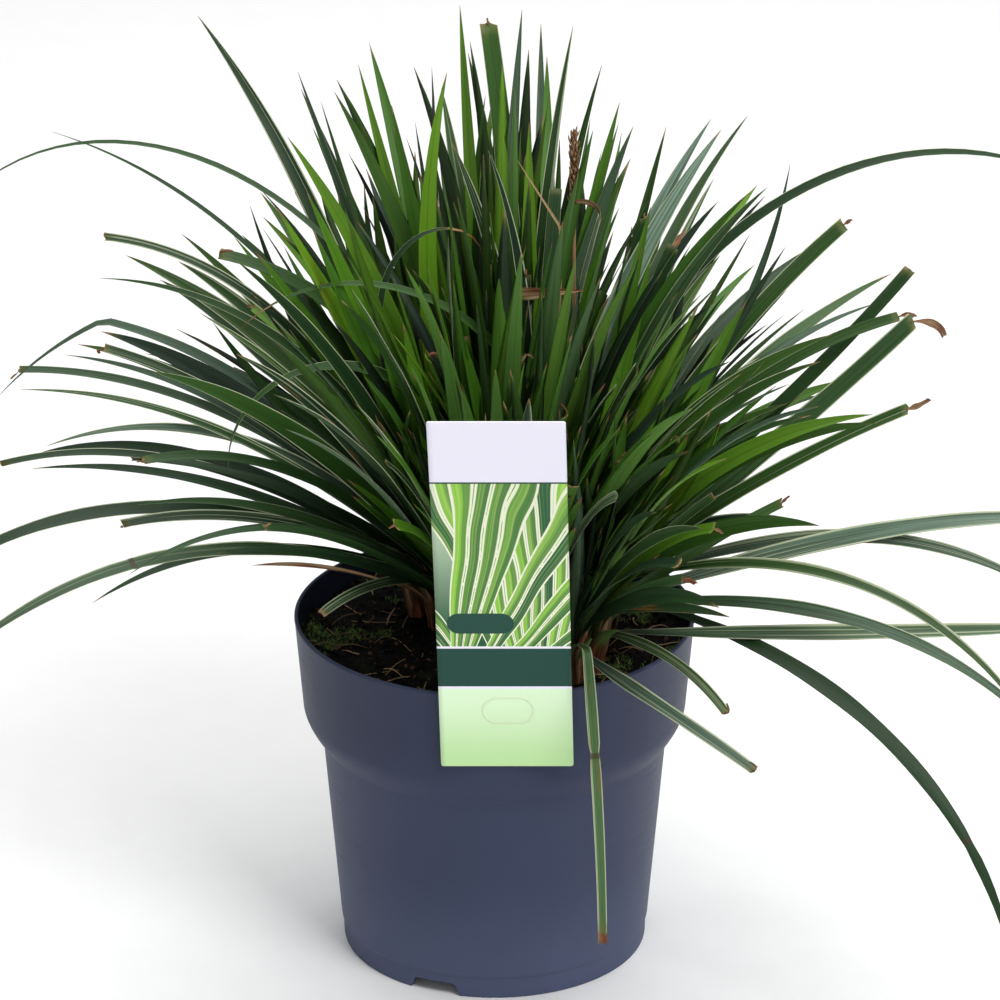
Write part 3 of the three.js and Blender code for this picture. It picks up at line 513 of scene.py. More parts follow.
class Finish:
    """A material in the making: its Principled shader, and the nodes that feed it."""

    def __init__(self, name, **constants):
        self.material = bpy.data.materials.new(name)
        self.material.use_nodes = True
        self.tree = self.material.node_tree
        self.shader = self.tree.nodes["Principled BSDF"]
        for socket, value in constants.items():
            self.shader.inputs[socket.replace("_", " ")].default_value = value

    def node(self, kind, settings=None, inputs=(), output=0):
        """A node of that type, its settings made first, then its sockets filled or linked."""
        made = self.tree.nodes.new(kind)
        for key, value in (settings or {}).items():
            setattr(made, key, value)
        for key, value in dict(inputs).items():
            if isinstance(value, Signal):
                self.tree.links.new(value.socket, made.inputs[key])
            else:
                made.inputs[key].default_value = value
        return Signal(self, made.outputs[output])

    def math(self, operation, *values):
        """A Math node of that operation on the values."""
        return self.node("ShaderNodeMath", {"operation": operation}, enumerate(values))

    def feed(self, **signals):
        """Links signals to the Principled shader's sockets."""
        for socket, signal in signals.items():
            self.tree.links.new(signal.socket, self.shader.inputs[socket.replace("_", " ")])
        return self.material

    def value(self, name):
        """A per-point value of the mesh."""
        return self.node("ShaderNodeAttribute", {"attribute_name": name}, output="Fac")

    def axes(self, vector):
        """The three parts of a vector."""
        return [
            self.node("ShaderNodeSeparateXYZ", None, {0: vector}, output=k) for k in range(3)
        ]

    def uv(self):
        """Across and along, from 0 to 1, of the piece's own map."""
        return self.axes(self.node("ShaderNodeUVMap", {"uv_map": "UVMap"}))[:2]

    def place(self):
        """Object coordinates, in metres."""
        return self.node("ShaderNodeTexCoord", output="Object")

    def vector(self, x, y, z=0.0):
        """A vector of three values."""
        return self.node("ShaderNodeCombineXYZ", None, {0: x, 1: y, 2: z})

    def noise(self, vector, scale, detail=2.0, roughness=0.5):
        """Noise from 0 to 1 over the vector."""
        inputs = {"Vector": vector, "Scale": scale, "Detail": detail, "Roughness": roughness}
        return self.node("ShaderNodeTexNoise", None, inputs)

    def step(self, signal, start, end):
        """Smooth step of a signal from 0 at start to 1 at end."""
        inputs = {"Value": signal, "From Min": start, "From Max": end}
        settings = {"interpolation_type": "SMOOTHSTEP"}
        return self.node("ShaderNodeMapRange", settings, inputs)

    def mix(self, factor, first, second):
        """Blend of two colours."""
        inputs = {0: factor, 6: first, 7: second}
        return self.node("ShaderNodeMix", {"data_type": "RGBA"}, inputs, output=2)

    def bump(self, height, distance, strength=1.0):
        """Normal that a height in shares of a distance gives, in metres."""
        inputs = {"Height": height, "Distance": distance, "Strength": strength}
        return self.node("ShaderNodeBump", None, inputs)


# ---------------------------------------------------------------- finishes

BROWN_DARK, BROWN_RED, STRAW = colour("2e1a10"), colour("8a4a28"), colour("b79a70")


def leaf_finish(name, deep, fresh):
    """Leathery leaf: green by the leaf's own tone, painted shade low down, cream margins, fine
    veins along it, a paler underside, a brown tip or cut end, and a sheath-brown base. Its looks
    can add painted shade all along it, a painted silver sheen, rust patches and a ring mark, or
    wither
    it: dry is 1 for a brown leaf and more for one bleached to straw."""
    finish = Finish(name, Specular_IOR_Level=0.32)
    u, v = finish.uv()
    tone, stripe, seed = (finish.value(key) for key in ("tone", "stripe", "seed"))
    tip, dry, under, along = (finish.value(key) for key in ("tip", "dry", "under", "along"))
    silver, rust, mark = (finish.value(key) for key in ("silver", "rust", "mark"))
    edge = abs(u * 2 - 1)
    streaks = finish.noise(finish.vector(u * 9, along * 0.012, seed * 60), 1.0, 3.0)
    blotches = finish.noise(finish.vector(u * 1.5, along * 0.05, seed * 40), 1.0, 3.0)
    veins = finish.noise(finish.vector(u * 46, along * 0.006, seed * 20), 1.0, 1.0)

    green = finish.mix(tone + (streaks - 0.5) * 0.3, colour(deep), colour(fresh))
    green = finish.mix(finish.step(veins, 0.5, 0.8) * 0.1, green, colour("8fae5c"))
    green = finish.mix(under * 0.25, green, colour("5d7f4c"))
    # Painted shade: darker green in the crease along the midrib.
    middle = finish.step(edge, 0.1, 0.02)
    green = finish.mix(middle * 0.35, green, colour("12260c"))
    # Painted sheen: a pale silver-green highlight in streaks, as strong as the leaf's silver.
    sheen = finish.step(streaks + (veins - 0.5) * 0.4, 0.3, 0.7)
    green = finish.mix(silver * (sheen * 0.55 + 0.2), green, colour("9db8a6"))
    band = 1.0 - stripe * 0.24 + (streaks - 0.5) * 0.1
    margin = finish.step(edge, band, band + 0.04) * finish.step(stripe, 0.15, 0.3)
    inner = finish.noise(finish.vector(u * 8, along * 0.003, seed * 90), 1.0, 1.0)
    inner = finish.step(inner, 0.6, 0.63) * finish.step(stripe, 0.55, 0.85) * 0.6
    striped = finish.mix(finish.math("MAXIMUM", margin * 0.9, inner), green, colour("c2cba8"))
    # Painted shade: near-black green low on the leaf, less on fresh ones, and at least the leaf's
    # dim all along it.
    shade = finish.step(along + blotches * 50, 150.0, 20.0) * (0.78 - tone * 0.3)
    shade = finish.math("MAXIMUM", shade, finish.value("dim"))
    striped = finish.mix(shade, striped, colour("070f07"))

    ragged = v + (blotches - 0.5) * 0.05
    fading = finish.step(ragged, tip - 0.025, tip)
    brown = finish.math("MAXIMUM", finish.step(ragged, tip, tip + 0.015), dry)
    foot = finish.step(along + blotches * 22, 34.0, 12.0)
    brown = finish.math("MAXIMUM", brown, foot * 0.85)
    rusty = finish.noise(finish.vector(u * 3, along * 0.03, seed * 80), 1.0, 4.0, 0.6)
    striped = finish.mix(rust * finish.step(rusty, 0.57, 0.66) * 0.85, striped, colour("8a5a2c"))
    ring = finish.step(abs(along - mark), 2.0, 0.8)
    striped = finish.mix(ring * 0.75, striped, colour("3a2c1c"))
    bleached = finish.step(dry, 1.0, 1.5)
    strawy = finish.math("MAXIMUM", finish.step(blotches, 0.35, 0.65), bleached)
    withered = finish.mix(strawy, BROWN_RED, STRAW)
    stained = finish.step(streaks, 0.62, 0.45) * (0.55 - bleached * 0.4)
    withered = finish.mix(stained, withered, BROWN_DARK)
    base = finish.mix(fading * 0.35, striped, colour("6c6a2a"))
    base = finish.mix(brown, base, withered)

    ribs = finish.math("SINE", u * 90) * 0.3 + veins
    return finish.feed(
        Base_Color=base,
        Roughness=0.36 + streaks * 0.16 + brown * 0.35,
        Normal=finish.bump(ribs, 0.00012, 0.6),
    )


def sheath_finish():
    """Old sheaths round a stem's foot: brown and straw fibres, greener higher up."""
    finish = Finish("sheath")
    u, v = finish.uv()
    fibres = finish.noise(finish.vector(u * 26, v * 1.6, finish.value("seed") * 50), 1.0, 3.0)
    base = finish.mix(finish.step(fibres, 0.35, 0.65), BROWN_DARK, BROWN_RED)
    base = finish.mix(finish.step(fibres, 0.6, 0.75) * 0.8, base, STRAW)
    base = finish.mix(finish.step(v + fibres * 0.3, 0.55, 0.9), base, colour("4c6a2c"))
    return finish.feed(
        Base_Color=base,
        Roughness=0.6 + fibres * 0.3,
        Normal=finish.bump(fibres, 0.0004),
    )


def dead_leaf_finish():
    """Dead leaf: straw to rust brown in streaks along it, dull."""
    finish = Finish("dead_leaf")
    u, v = finish.uv()
    seed = finish.value("seed")
    streaks = finish.noise(finish.vector(u * 12, v * 2.2, seed * 30), 1.0, 4.0)
    patches = finish.noise(finish.vector(u * 1.5, v * 5, seed * 70), 1.0, 2.0)
    base = finish.mix(finish.step(patches, 0.35, 0.62), BROWN_RED, STRAW)
    base = finish.mix(finish.step(streaks, 0.55, 0.35) * 0.7, base, BROWN_DARK)
    return finish.feed(
        Base_Color=base,
        Roughness=0.6 + streaks * 0.3,
        Normal=finish.bump(streaks, 0.0003),
    )


def pot_finish():
    """Slate blue-grey moulded plastic: satin, darker towards the rim by painted shade and paler at
    the foot by painted bounce light, with faint flow marks, dust and fine scuffs."""
    finish = Finish("pot_plastic", Specular_IOR_Level=0.12)
    place = finish.place()
    cloud = finish.noise(place, 14.0, 4.0)
    dust = finish.noise(place, 420.0, 3.0, 0.7)
    x, y, z = finish.axes(place)
    scuffs = finish.noise(finish.vector(x * 60, y * 60, z * 900), 1.0, 3.0, 0.6)
    base = finish.mix(cloud, colour("383f57"), colour("434a63"))
    # Painted shade: darker towards the rim.
    base = finish.mix(finish.step(z, 0.09, 0.14) * 0.6, base, colour("2e3447"))
    # Painted light: paler at the foot, as light bounced off the floor would make it.
    base = finish.mix(finish.step(z, 0.07, 0.0) * 0.45, base, colour("626b88"))
    base = finish.mix(finish.step(dust, 0.62, 0.8) * 0.08, base, colour("7a7d8c"))
    return finish.feed(
        Base_Color=base,
        Roughness=0.42 + cloud * 0.12 + finish.step(scuffs, 0.55, 0.8) * 0.15,
        Normal=finish.bump(dust * 0.4 + scuffs * 0.6, 0.00006),
    )


def soil_finish():
    """Dark damp compost with brown fibres, and moss green where it has grown over."""
    finish = Finish("compost", Specular_IOR_Level=0.15)
    place = finish.place()
    grains = finish.noise(place, 700.0, 5.0, 0.7)
    patches = finish.noise(place, 45.0, 3.0)
    base = finish.mix(finish.step(grains, 0.45, 0.75), colour("040303"), colour("1c1410"))
    base = finish.mix(finish.step(patches, 0.55, 0.66) * 0.5, base, colour("18220c"))
    return finish.feed(
        Base_Color=base,
        Roughness=0.75 + grains * 0.25,
        Normal=finish.bump(grains, 0.0012),
    )


def crumb_finish():
    """Bark and peat crumbs: each of its own brown, by its seed."""
    finish = Finish("bark_crumbs", Specular_IOR_Level=0.15)
    seed = finish.value("seed")
    grains = finish.noise(finish.place(), 900.0, 3.0)
    base = finish.mix(finish.step(seed, 0.55, 1.0), colour("060404"), colour("5e4636"))
    base = finish.mix(finish.step(grains, 0.45, 0.7) * 0.5, base, colour("0e0a08"))
    return finish.feed(
        Base_Color=base,
        Roughness=0.7 + grains * 0.3,
        Normal=finish.bump(grains, 0.0006),
    )


def fibre_finish():
    """Roots and straw on the soil: from pale straw to root brown, by their seed."""
    finish = Finish("root_fibres")
    seed = finish.value("seed")
    grains = finish.noise(finish.place(), 500.0, 3.0)
    base = finish.mix(seed, colour("4a3020"), colour("b89a6c"))
    base = finish.mix(finish.step(grains, 0.5, 0.7) * 0.5, base, colour("38261a"))
    return finish.feed(Base_Color=base, Roughness=0.6 + grains * 0.3)


def moss_finish():
    """Moss leaflets: dark to yellow green, by their seed."""
    finish = Finish("moss")
    seed = finish.value("seed")
    grains = finish.noise(finish.place(), 260.0, 2.0)
    fresh = finish.step(seed * 0.7 + grains * 0.5, 0.3, 1.0)
    base = finish.mix(fresh, colour("0c1808"), colour("71923a"))
    return finish.feed(Base_Color=base, Roughness=0.65 + grains * 0.25)


def floor_finish():
    """Plain pale studio floor."""
    finish = Finish("studio_floor", Roughness=0.9)
    grain = finish.noise(finish.place(), 40.0)
    return finish.feed(Base_Color=finish.mix(grain, colour("f6f6f6"), colour("fafafa")))


# ---------------------------------------------------------------- layout of the shoots' leaves

def openness(azimuth):
    """How far the clump opens to an azimuth: 1 at the sides, less at the front and back."""
    return 1 - CLUMP.steeper * math.sin(math.radians(azimuth)) ** 2


def lean_at(share, azimuth):
    """Lean of a leaf whose place is a share of the clump's radius: upright in the middle."""
    outside = CLUMP.lean_outside * openness(azimuth)
    return CLUMP.lean_inside + outside * min(share, CLUMP.lean_up_to) ** CLUMP.lean_power


def degrees_of(vector):
    """Azimuth of a plan vector."""
    return math.degrees(math.atan2(vector[1], vector[0]))


def plan(azimuth, length=1.0):
    """Plan vector of an azimuth and a length."""
    turn = math.radians(azimuth)
    return np.array([math.cos(turn), math.sin(turn)]) * length


def make_shoot(number, x, y):
    """A shoot's number, place, share of the clump's radius and azimuth in the clump."""
    place = np.array([x, y]) - CLUMP.middle
    share = float(np.hypot(*place)) / CLUMP.radius
    return Sizes(number=number, x=x, y=y, share=share, azimuth=degrees_of(place))


def lone_root(place, share=0):
    """A root that stands by itself."""
    return Sizes(x=place[0], y=place[1], share=share, azimuth=None)


def lay_out_shoots():
    """Shoots on a sunflower spiral, without the bare side, and the runners."""
    shoots = []
    for i in range(CLUMP.count):
        radius = CLUMP.radius * math.sqrt((i + 0.5) / CLUMP.count)
        x, y = CLUMP.middle + plan(i * GOLDEN_ANGLE, radius)
        shoot = make_shoot(i, x, y)
        turn = (shoot.azimuth + 360) % 360
        on_bare_side = CLUMP.bare_from < turn < CLUMP.bare_to
        if not (on_bare_side and shoot.share > CLUMP.bare_beyond):
            shoots.append(shoot)
    for i, (x, y) in enumerate(CLUMP.runners):
        shoots.append(make_shoot(CLUMP.count + i, x, y))
    return shoots


def side_of_stem(shoot, heading, lean):
    """Where a leaf leaves its stem: on the side it leans to, seen from the shoot's own way."""
    side = plan(heading, lean) - plan(shoot.azimuth, lean_at(shoot.share, shoot.azimuth))
    side = side * STEM.leaf_side / STEM.full_side
    length = np.hypot(*side)
    return side * min(1.0, STEM.leaf_side / length) if length else side


def centre_line(root, heading, lean, bend, length, start=BLADE.start, sweep=0, fold=0,
                fold_at=math.inf, roll=0, twist=0, late=BLADE.bend_power, steps=BLADE.stations):
    """Centre line of a leaf or stalk. It leaves the stem nearly upright, takes up its lean by a
    smooth step over the turning length, and bends on with a power of its length's share: the
    later, the higher that is. Its face is rolled towards the front at the sides of the clump,
    and twists along its length. Returns arrays of the points, the ways along, across and up,
    and the shares."""
    first = STEM.lean * min(root.share, 1)
    turning = BLADE.turning - BLADE.turning_less * (lean / 90) ** 2
    part = np.arange(steps + 1) / steps
    along = part * length
    leaning = first + (lean - first) * smooth(along / turning)
    folded = np.where(along > fold_at, fold, 0)
    tilt = np.radians(leaning + bend * part ** late + folded)
    azimuth = np.radians(heading + sweep * part ** BLADE.sweep_power)
    way = way_at(tilt, azimuth)
    place = np.array([root.x, root.y, CLUMP.collar + start], float)
    if root.azimuth is not None:
        place[:2] += side_of_stem(root, heading, lean)
    facing = BLADE.facing + BLADE.facing_upright * np.cos(tilt)
    turn = np.radians(facing * np.cos(azimuth) + roll + twist * part)[:, None]
    level = level_across(azimuth)
    across = level * np.cos(turn) + np.cross(way, level) * np.sin(turn)
    return Sizes(point=points_along(place, way, length), way=way, across=across,
                 up=np.cross(way, across), part=part)


def make_leaf(shoot, path, width, end, looks=(), plain=False):
    """A leaf: its shoot, its path, its width and end, its centre line and its looks. A plain
    one has fewer faces."""
    line = centre_line(shoot, **path)
    return Sizes(shoot=shoot.number, root=shoot, path=path, width=width, end=end, line=line,
                 looks=dict(looks), plain=plain)


def listed_leaves(rows, shoots):
    """The leaves of a list, each started a little higher on its stem than the last. Those that
    lean far out get a little painted shade."""
    used = {}
    leaves = []
    by_number = {shoot.number: shoot for shoot in shoots}
    for number, heading, lean, bend, length, width, end, *extra in rows:
        order = used.get(number, 0)
        used[number] = order + 1
        path = {"heading": heading, "lean": lean, "bend": bend, "length": length,
                "start": BLADE.start + order * BLADE.start_step}
        looks = {"tone": LISTED.tone, "rust": 0.0,
                 "dim": LISTED.dim if lean > LISTED.dim_beyond else 0.0}
        for key, value in (extra[0] if extra else {}).items():
            (looks if key in LEAF_LOOKS else path)[key] = value
        leaves.append(make_leaf(by_number[number], path, width, end, looks))
    return leaves


def has_room(line, width):
    """True where a leaf keeps clear of the label, the pot, the soil, the floor and the reach."""
    spare = width / 2 + ROOM.spare
    x, y, z = line.point[line.part >= ROOM.in_shoot].T
    if (np.abs(x) > ROOM.x).any() or (np.abs(y) > ROOM.y).any() or (z < ROOM.standing).any():
        return False
    from_axis = np.hypot(x, y)
    if ((from_axis <= ROOM.soil_radius) & (z < CLUMP.collar + spare)).any():
        return False
    at_rim = (from_axis > ROOM.soil_radius) & (from_axis < POT.rim_radius + spare)
    if (at_rim & (z < POT.height + spare)).any():
        return False
    beside = np.abs(x - LABEL.middle_x) - LABEL.width / 2
    return bool(((beside > ROOM.label + spare) | (y > label_y(z) + ROOM.label + spare)).all())


class Standing:
    """Segments of every leaf that stands, to test how near a new one comes to them."""

    def __init__(self, leaves):
        segments = BLADE.stations - math.ceil(FILL.fused_to * BLADE.stations)
        self.first = np.zeros((0, segments, 3))
        self.last = np.zeros((0, segments, 3))
        self.widths = np.zeros(0)
        self.shoots = np.zeros(0, int)
        self.add(leaves)

    def add(self, leaves):
        """Takes up more leaves."""
        for leaf in leaves:
            free = leaf.line.point[leaf.line.part >= FILL.fused_to]
            self.first = np.concatenate([self.first, free[None, :-1]])
            self.last = np.concatenate([self.last, free[None, 1:]])
            self.widths = np.append(self.widths, leaf.width)
            self.shoots = np.append(self.shoots, leaf.shoot)

    def touched_by(self, leaf, room, least_room):
        """True where another shoot's leaf lies nearer to this one's points than their widths
        allow, by the distance of a point from a segment."""
        points = leaf.line.point[leaf.line.part >= FILL.fused_to]
        others = self.shoots != leaf.shoot
        low, high = points.min(0) - FILL.near, points.max(0) + FILL.near
        ends = np.stack([self.first, self.last])
        near = (ends.max((0, 2)) > low).all(1) & (ends.min((0, 2)) < high).all(1)
        others = others & near
        first, chord = self.first[others][:, None], (self.last - self.first)[others][:, None]
        offset = points[None, :, None] - first
        share = np.clip((offset * chord).sum(-1) / (chord * chord).sum(-1), 0, 1)
        distance = np.linalg.norm(offset - share[..., None] * chord, axis=-1)
        limit = np.maximum(room * (leaf.width + self.widths[others]), least_room)
        return bool((distance < limit[:, None, None]).any())


def fill_leaves(shoot, standing, marked):
    """A shoot's other leaves fan out evenly round its own direction. One that would touch a
    neighbour's leaf or a solid piece is grown shorter and straighter, or left out."""
    random = seeded(FILL.seed + 7919 * shoot.number)
    count = max(BLADE.per_shoot - marked, BLADE.least_per_shoot)
    first_turn = 360 * random()
    grown = []
    for i in range(count):
        reach = FILL.reach * math.sqrt((i + 0.5) / count)
        aim = np.array([shoot.x, shoot.y]) - CLUMP.middle
        aim = aim + plan(first_turn + i * GOLDEN_ANGLE, reach)
        share = min(float(np.hypot(*aim)) / CLUMP.radius, FILL.share_up_to)
        heading = degrees_of(aim)
        bend = (FILL.bend_inside + FILL.bend_outside * share) * openness(heading)
        bend += FILL.bend_spread * (random() - 0.5)
        roll = FILL.roll_spread * (random() - 0.5)
        twist = FILL.twist_spread * (random() - 0.5)
        width = FILL.width + FILL.width_spread * random()
        is_cut = random() < FILL.cut_share
        length = FILL.longest - FILL.shorter_outside * share - FILL.length_spread * random()
        if is_cut:
            length *= FILL.cut_to
        start = BLADE.start + (marked + i) * FILL.start_step
        opening = FILL.lean - FILL.lean_left * math.cos(math.radians(heading))
        opening += FILL.lean_spread * (random() - FILL.lean_from)
        lean = opening * lean_at(share, heading)
        path = {"heading": heading, "lean": lean, "bend": bend,
                "length": length, "start": start, "roll": roll, "twist": twist}
        leaf = fitted(shoot, path, width, "cut" if is_cut else "point", standing,
                      FILL.room, FILL.least_room)
        if leaf:
            grown.append(leaf)
    return grown


def fitted(shoot, path, width, end, standing, room, least_room):
    """The leaf of that path, grown shorter and straighter until it has room, or None."""
    while path["length"] > FILL.shortest:
        leaf = make_leaf(shoot, dict(path), width, end)
        if has_room(leaf.line, width) and not standing.touched_by(leaf, room, least_room):
            return leaf
        path["length"] *= FILL.shrink
        path["lean"] *= FILL.straighten
    return None


def undergrowth(shoot, standing, kind):
    """More leaves of a shoot, that may stand closer together. There are fewer of them farther
    out, they are shorter and narrower towards the sides and shorter in front and on the right,
    and they turn their faces more to the front. Some get painted shade all along, so that the
    clump is dark inside, and only a share of them has pale margins."""
    extra = UNDERGROWTH
    random = np.random.default_rng(extra.seed + 1000 * kind.number + shoot.number)
    grown = []
    for _ in range(round(kind.count * (1 - extra.fewer_outside * smooth(shoot.share)))):
        aim = np.array([shoot.x, shoot.y]) - CLUMP.middle + random.normal(0, extra.spread, 2)
        share = min(float(np.hypot(*aim)) / CLUMP.radius, extra.share_up_to)
        heading = degrees_of(aim) + random.normal(0, kind.turn)
        is_cut = random.random() < extra.cut_share
        to_right = math.cos(math.radians(heading))
        sideways = share ** 2 * abs(to_right)
        length = random.uniform(*kind.length) - extra.shorter_outside * sideways
        length *= 1 + extra.shorter_front * min(shoot.y - extra.front_from, 0)
        length *= 1 - extra.shorter_right * smooth(shoot.x / extra.right_at)
        length *= extra.cut_to if is_cut else 1
        roll = extra.facing * to_right + random.uniform(*extra.roll)
        opening = random.uniform(*extra.lean) - extra.left * to_right / 2
        lean = abs(lean_at(share, heading) * opening + random.normal(0, kind.tilt))
        path = {"heading": heading, "lean": lean,
                "bend": random.uniform(*extra.bend) * openness(heading), "length": length,
                "start": random.uniform(*extra.start), "roll": roll,
                "twist": random.uniform(*extra.twist), "sweep": random.uniform(*extra.sweep)}
        width = random.uniform(*kind.width) * (1 - extra.narrower_outside * min(sideways, 1))
        leaf = fitted(shoot, path, width, "cut" if is_cut else "point", standing,
                      extra.room, extra.least_room)
        if leaf:
            leaf.plain = True
            # Painted shade all along the leaf, so that the clump is dark inside.
            leaf.looks = {"dim": random.uniform(*kind.dim), "tip_power": kind.tip_power}
            if random.random() > kind.margined:
                leaf.looks["stripe"] = random.uniform(*extra.no_margin)
            grown.append(leaf)
            standing.add([leaf])
    return grown


# ---------------------------------------------------------------- leaf surfaces

# Places of a leaf's section across it, from -1 to 1, over its upper face.
FINE_UPPER = np.array([-1, -0.86, -0.45, 0, 0.45, 0.86, 1])
PLAIN_UPPER = np.array([-1, 0, 1])
# What a leaf's looks are where nothing else is said. dim is how much painted shade
# darkens it at least, and a tip that isn't given is drawn.
LEAF_LOOKS = {"tone": 0.5, "stripe": 0.0, "silver": 0.0, "rust": 0.0, "mark": -9.0, "dim": 0.0,
              "dry": 0.0, "tip": None, "hang": None, "tip_power": BLADE.tip_power}
SHADER_LOOKS = ("tone", "stripe", "silver", "rust", "mark", "dim", "dry", "tip")


def width_at(part, width, end, tip_power=BLADE.tip_power):
    """Width of a leaf along its length: narrow at the stem, full to the middle, then to its
    tip."""
    base = BLADE.base_share + (1 - BLADE.base_share) * smooth(part / BLADE.full_from)
    if end == "cut":
        return width * base * (1 - BLADE.cut_taper * part)
    return width * base * (1 - part ** tip_power) ** BLADE.tip_round


def leaf_patch(line, width, end, random, length, looks=(), plain=False):
    """Thin leaf along a centre line. Its upper face is a channel, deepest at the midrib, with
    a ripple along its margins. The underside runs parallel below, thinner at the margins. A
    cut end is ragged, and a ring mark is a slight neck."""
    looks = {**LEAF_LOOKS, **dict(looks)}
    upper = PLAIN_UPPER if plain else FINE_UPPER
    section = np.concatenate([upper, upper[-2:0:-1]])
    is_under = np.concatenate([np.zeros(len(upper)), np.ones(len(upper) - 2)])
    half = np.maximum(width_at(line.part, width, end, looks["tip_power"]) / 2,
                      SECTION.least_half)
    from_mark = (line.part * length - looks["mark"]) / SECTION.neck_length
    half = (half * (1 - SECTION.neck * np.exp(-from_mark ** 2)))[:, None]
    depth = np.minimum(BLADE.thickness - BLADE.skin, half * SECTION.channel)
    lateral = half * section
    wave = np.sin(line.part * length / SECTION.ripple_length + random.uniform(0, 6.3))
    ripple = SECTION.ripple * half * wave[:, None]
    height = -depth * (1 - np.abs(section) ** SECTION.channel_power)
    height = height + ripple * section * np.abs(section)
    skin = np.minimum(BLADE.skin, half * SECTION.skin)
    height = height - skin * (1 - SECTION.skin_thinner * section ** 2) * is_under
    points = line.point[:, None] + lateral[..., None] * line.across[:, None]
    points = points + height[..., None] * line.up[:, None]
    if end == "cut":
        count = SECTION.ragged_points
        ragged = np.interp(section, np.linspace(-1, 1, count),
                           random.uniform(-SECTION.ragged, 0, count))
        points[-1] += ragged[:, None] * line.way[-1]
    rows, columns = points.shape[:2]
    if looks["tip"] is None:
        brown = random.uniform(*(VARIETY.brown_cut if end == "cut" else VARIETY.brown_point))
        looks["tip"] = 1 - brown / length
    across, along = np.broadcast_arrays((section + 1) / 2, line.part[:, None])
    return Patch(
        points, closed_grid(rows, columns), np.stack([across, along], -1), seed=random.random(),
        under=np.broadcast_to(is_under, (rows, columns)), along=along * length,
        **{key: looks[key] for key in SHADER_LOOKS},
    )


def dead_strip(leaf, random, length, width, turn, curl):
    """A dead strip at a leaf's cut end: it turns off the leaf's way, curls on evenly and twists
    its face to the side."""
    line = leaf.line
    share = np.linspace(0, 1, STRIP.stations + 1)
    angle = np.radians(turn + curl * share)[:, None]
    way = line.way[-1] * np.cos(angle) - line.up[-1] * np.sin(angle)
    twist = np.radians(STRIP.twist * smooth(share * STRIP.twist_rate))[:, None]
    across = line.across[-1] * np.cos(twist) + np.cross(way, line.across[-1]) * np.sin(twist)
    start = line.point[-1] - line.way[-1] * STRIP.back - line.up[-1] * STRIP.down
    strip = Sizes(point=points_along(start, way, length), way=way, across=across,
                  up=np.cross(way, across), part=share)
    return leaf_patch(strip, width, "cut", random, length, STRIP.looks)


def dressed_leaf(leaf, random, freshness):
    """The fine surfaces of a leaf of the layout. It is a fresh green leaf with hardly a margin,
    or an older dark one with pale margins, the fresh ones more often where the clump is young.
    Some cut ends bear a dead strip."""
    looks = dict(leaf.looks)
    if "tone" not in looks:
        is_fresh = random.random() < freshness + VARIETY.plain_more * leaf.plain
        looks["tone"] = random.uniform(*(VARIETY.fresh_tone if is_fresh else VARIETY.old_tone))
    is_fresh = looks["tone"] > VARIETY.fresh_from
    has_margins = not is_fresh and random.random() < VARIETY.margined
    stripe = random.uniform(*(VARIETY.margin if has_margins else VARIETY.no_margin))
    # Older dark leaves may get a painted silver sheen.
    silver = 0.0 if is_fresh else max(random.uniform(*VARIETY.silver), 0.0)
    rust = VARIETY.rust * (random.random() < VARIETY.rusty)
    looks = {"stripe": stripe, "silver": silver, "rust": rust, **looks}
    stations = UNDERGROWTH.stations if leaf.plain else BLADE.fine_stations
    line = centre_line(leaf.root, **leaf.path, steps=stations)
    patches = [leaf_patch(line, leaf.width, leaf.end, random, leaf.path["length"], looks,
                          leaf.plain)]
    hang = looks.get("hang")
    if leaf.end == "cut" and not hang and random.random() < VARIETY.hanging:
        hang = [random.uniform(*span) for span in VARIETY.hang]
    if hang:
        patches.append(dead_strip(leaf, random, *hang))
    return patches


def stem_patch(shoot, random):
    """Foot of a shoot: a tube up the stem's line with soft ridges round it, as the rolled
    sheaths give it, from below the soil to its tip."""
    line = centre_line(shoot, shoot.azimuth, lean_at(shoot.share, shoot.azimuth), 0,
                       STEM.tip_at, start=0, steps=STEM.rings)
    centre = np.concatenate([line.point[:1] - [0, 0, STEM.sunk], line.point])
    across, up = (np.concatenate([axis[:1], axis]) for axis in (line.across, line.up))
    along = np.concatenate([[-STEM.sunk], line.part * STEM.tip_at])
    radius = np.interp(along, [0, STEM.straight, STEM.neck_at, STEM.tip_at],
                       [STEM.radius, STEM.radius, STEM.neck, STEM.tip_radius])
    angle = np.linspace(0, 2 * np.pi, STEM.sides, endpoint=False)
    phase = STEM.ridges * angle + random.uniform(0, 6) + along[:, None] * STEM.ridge_turn
    ridged = radius[:, None] * (STEM.girth + STEM.ridge * np.cos(phase))
    looks = {key: LEAF_LOOKS[key] for key in SHADER_LOOKS}
    return tube(centre, across, up, ridged, STEM.sides, slot=1, **{**looks, "tip": 2},
                seed=random.random(), under=0, along=100)


def old_sheath(shoot, random):
    """A short dead blade that hugs the stem's foot."""
    sheath = OLD_SHEATH
    turn = random.uniform(0, 360)
    length = random.uniform(*sheath.length)
    root = lone_root(np.array([shoot.x, shoot.y]) + plan(turn, sheath.from_axis), sheath.share)
    line = centre_line(root, turn, random.uniform(*sheath.lean), random.uniform(*sheath.bend),
                       length, start=sheath.start, steps=sheath.stations,
                       twist=random.uniform(*sheath.twist))
    return leaf_patch(line, random.uniform(*sheath.width), "point", random, length,
                      sheath.looks, plain=True)


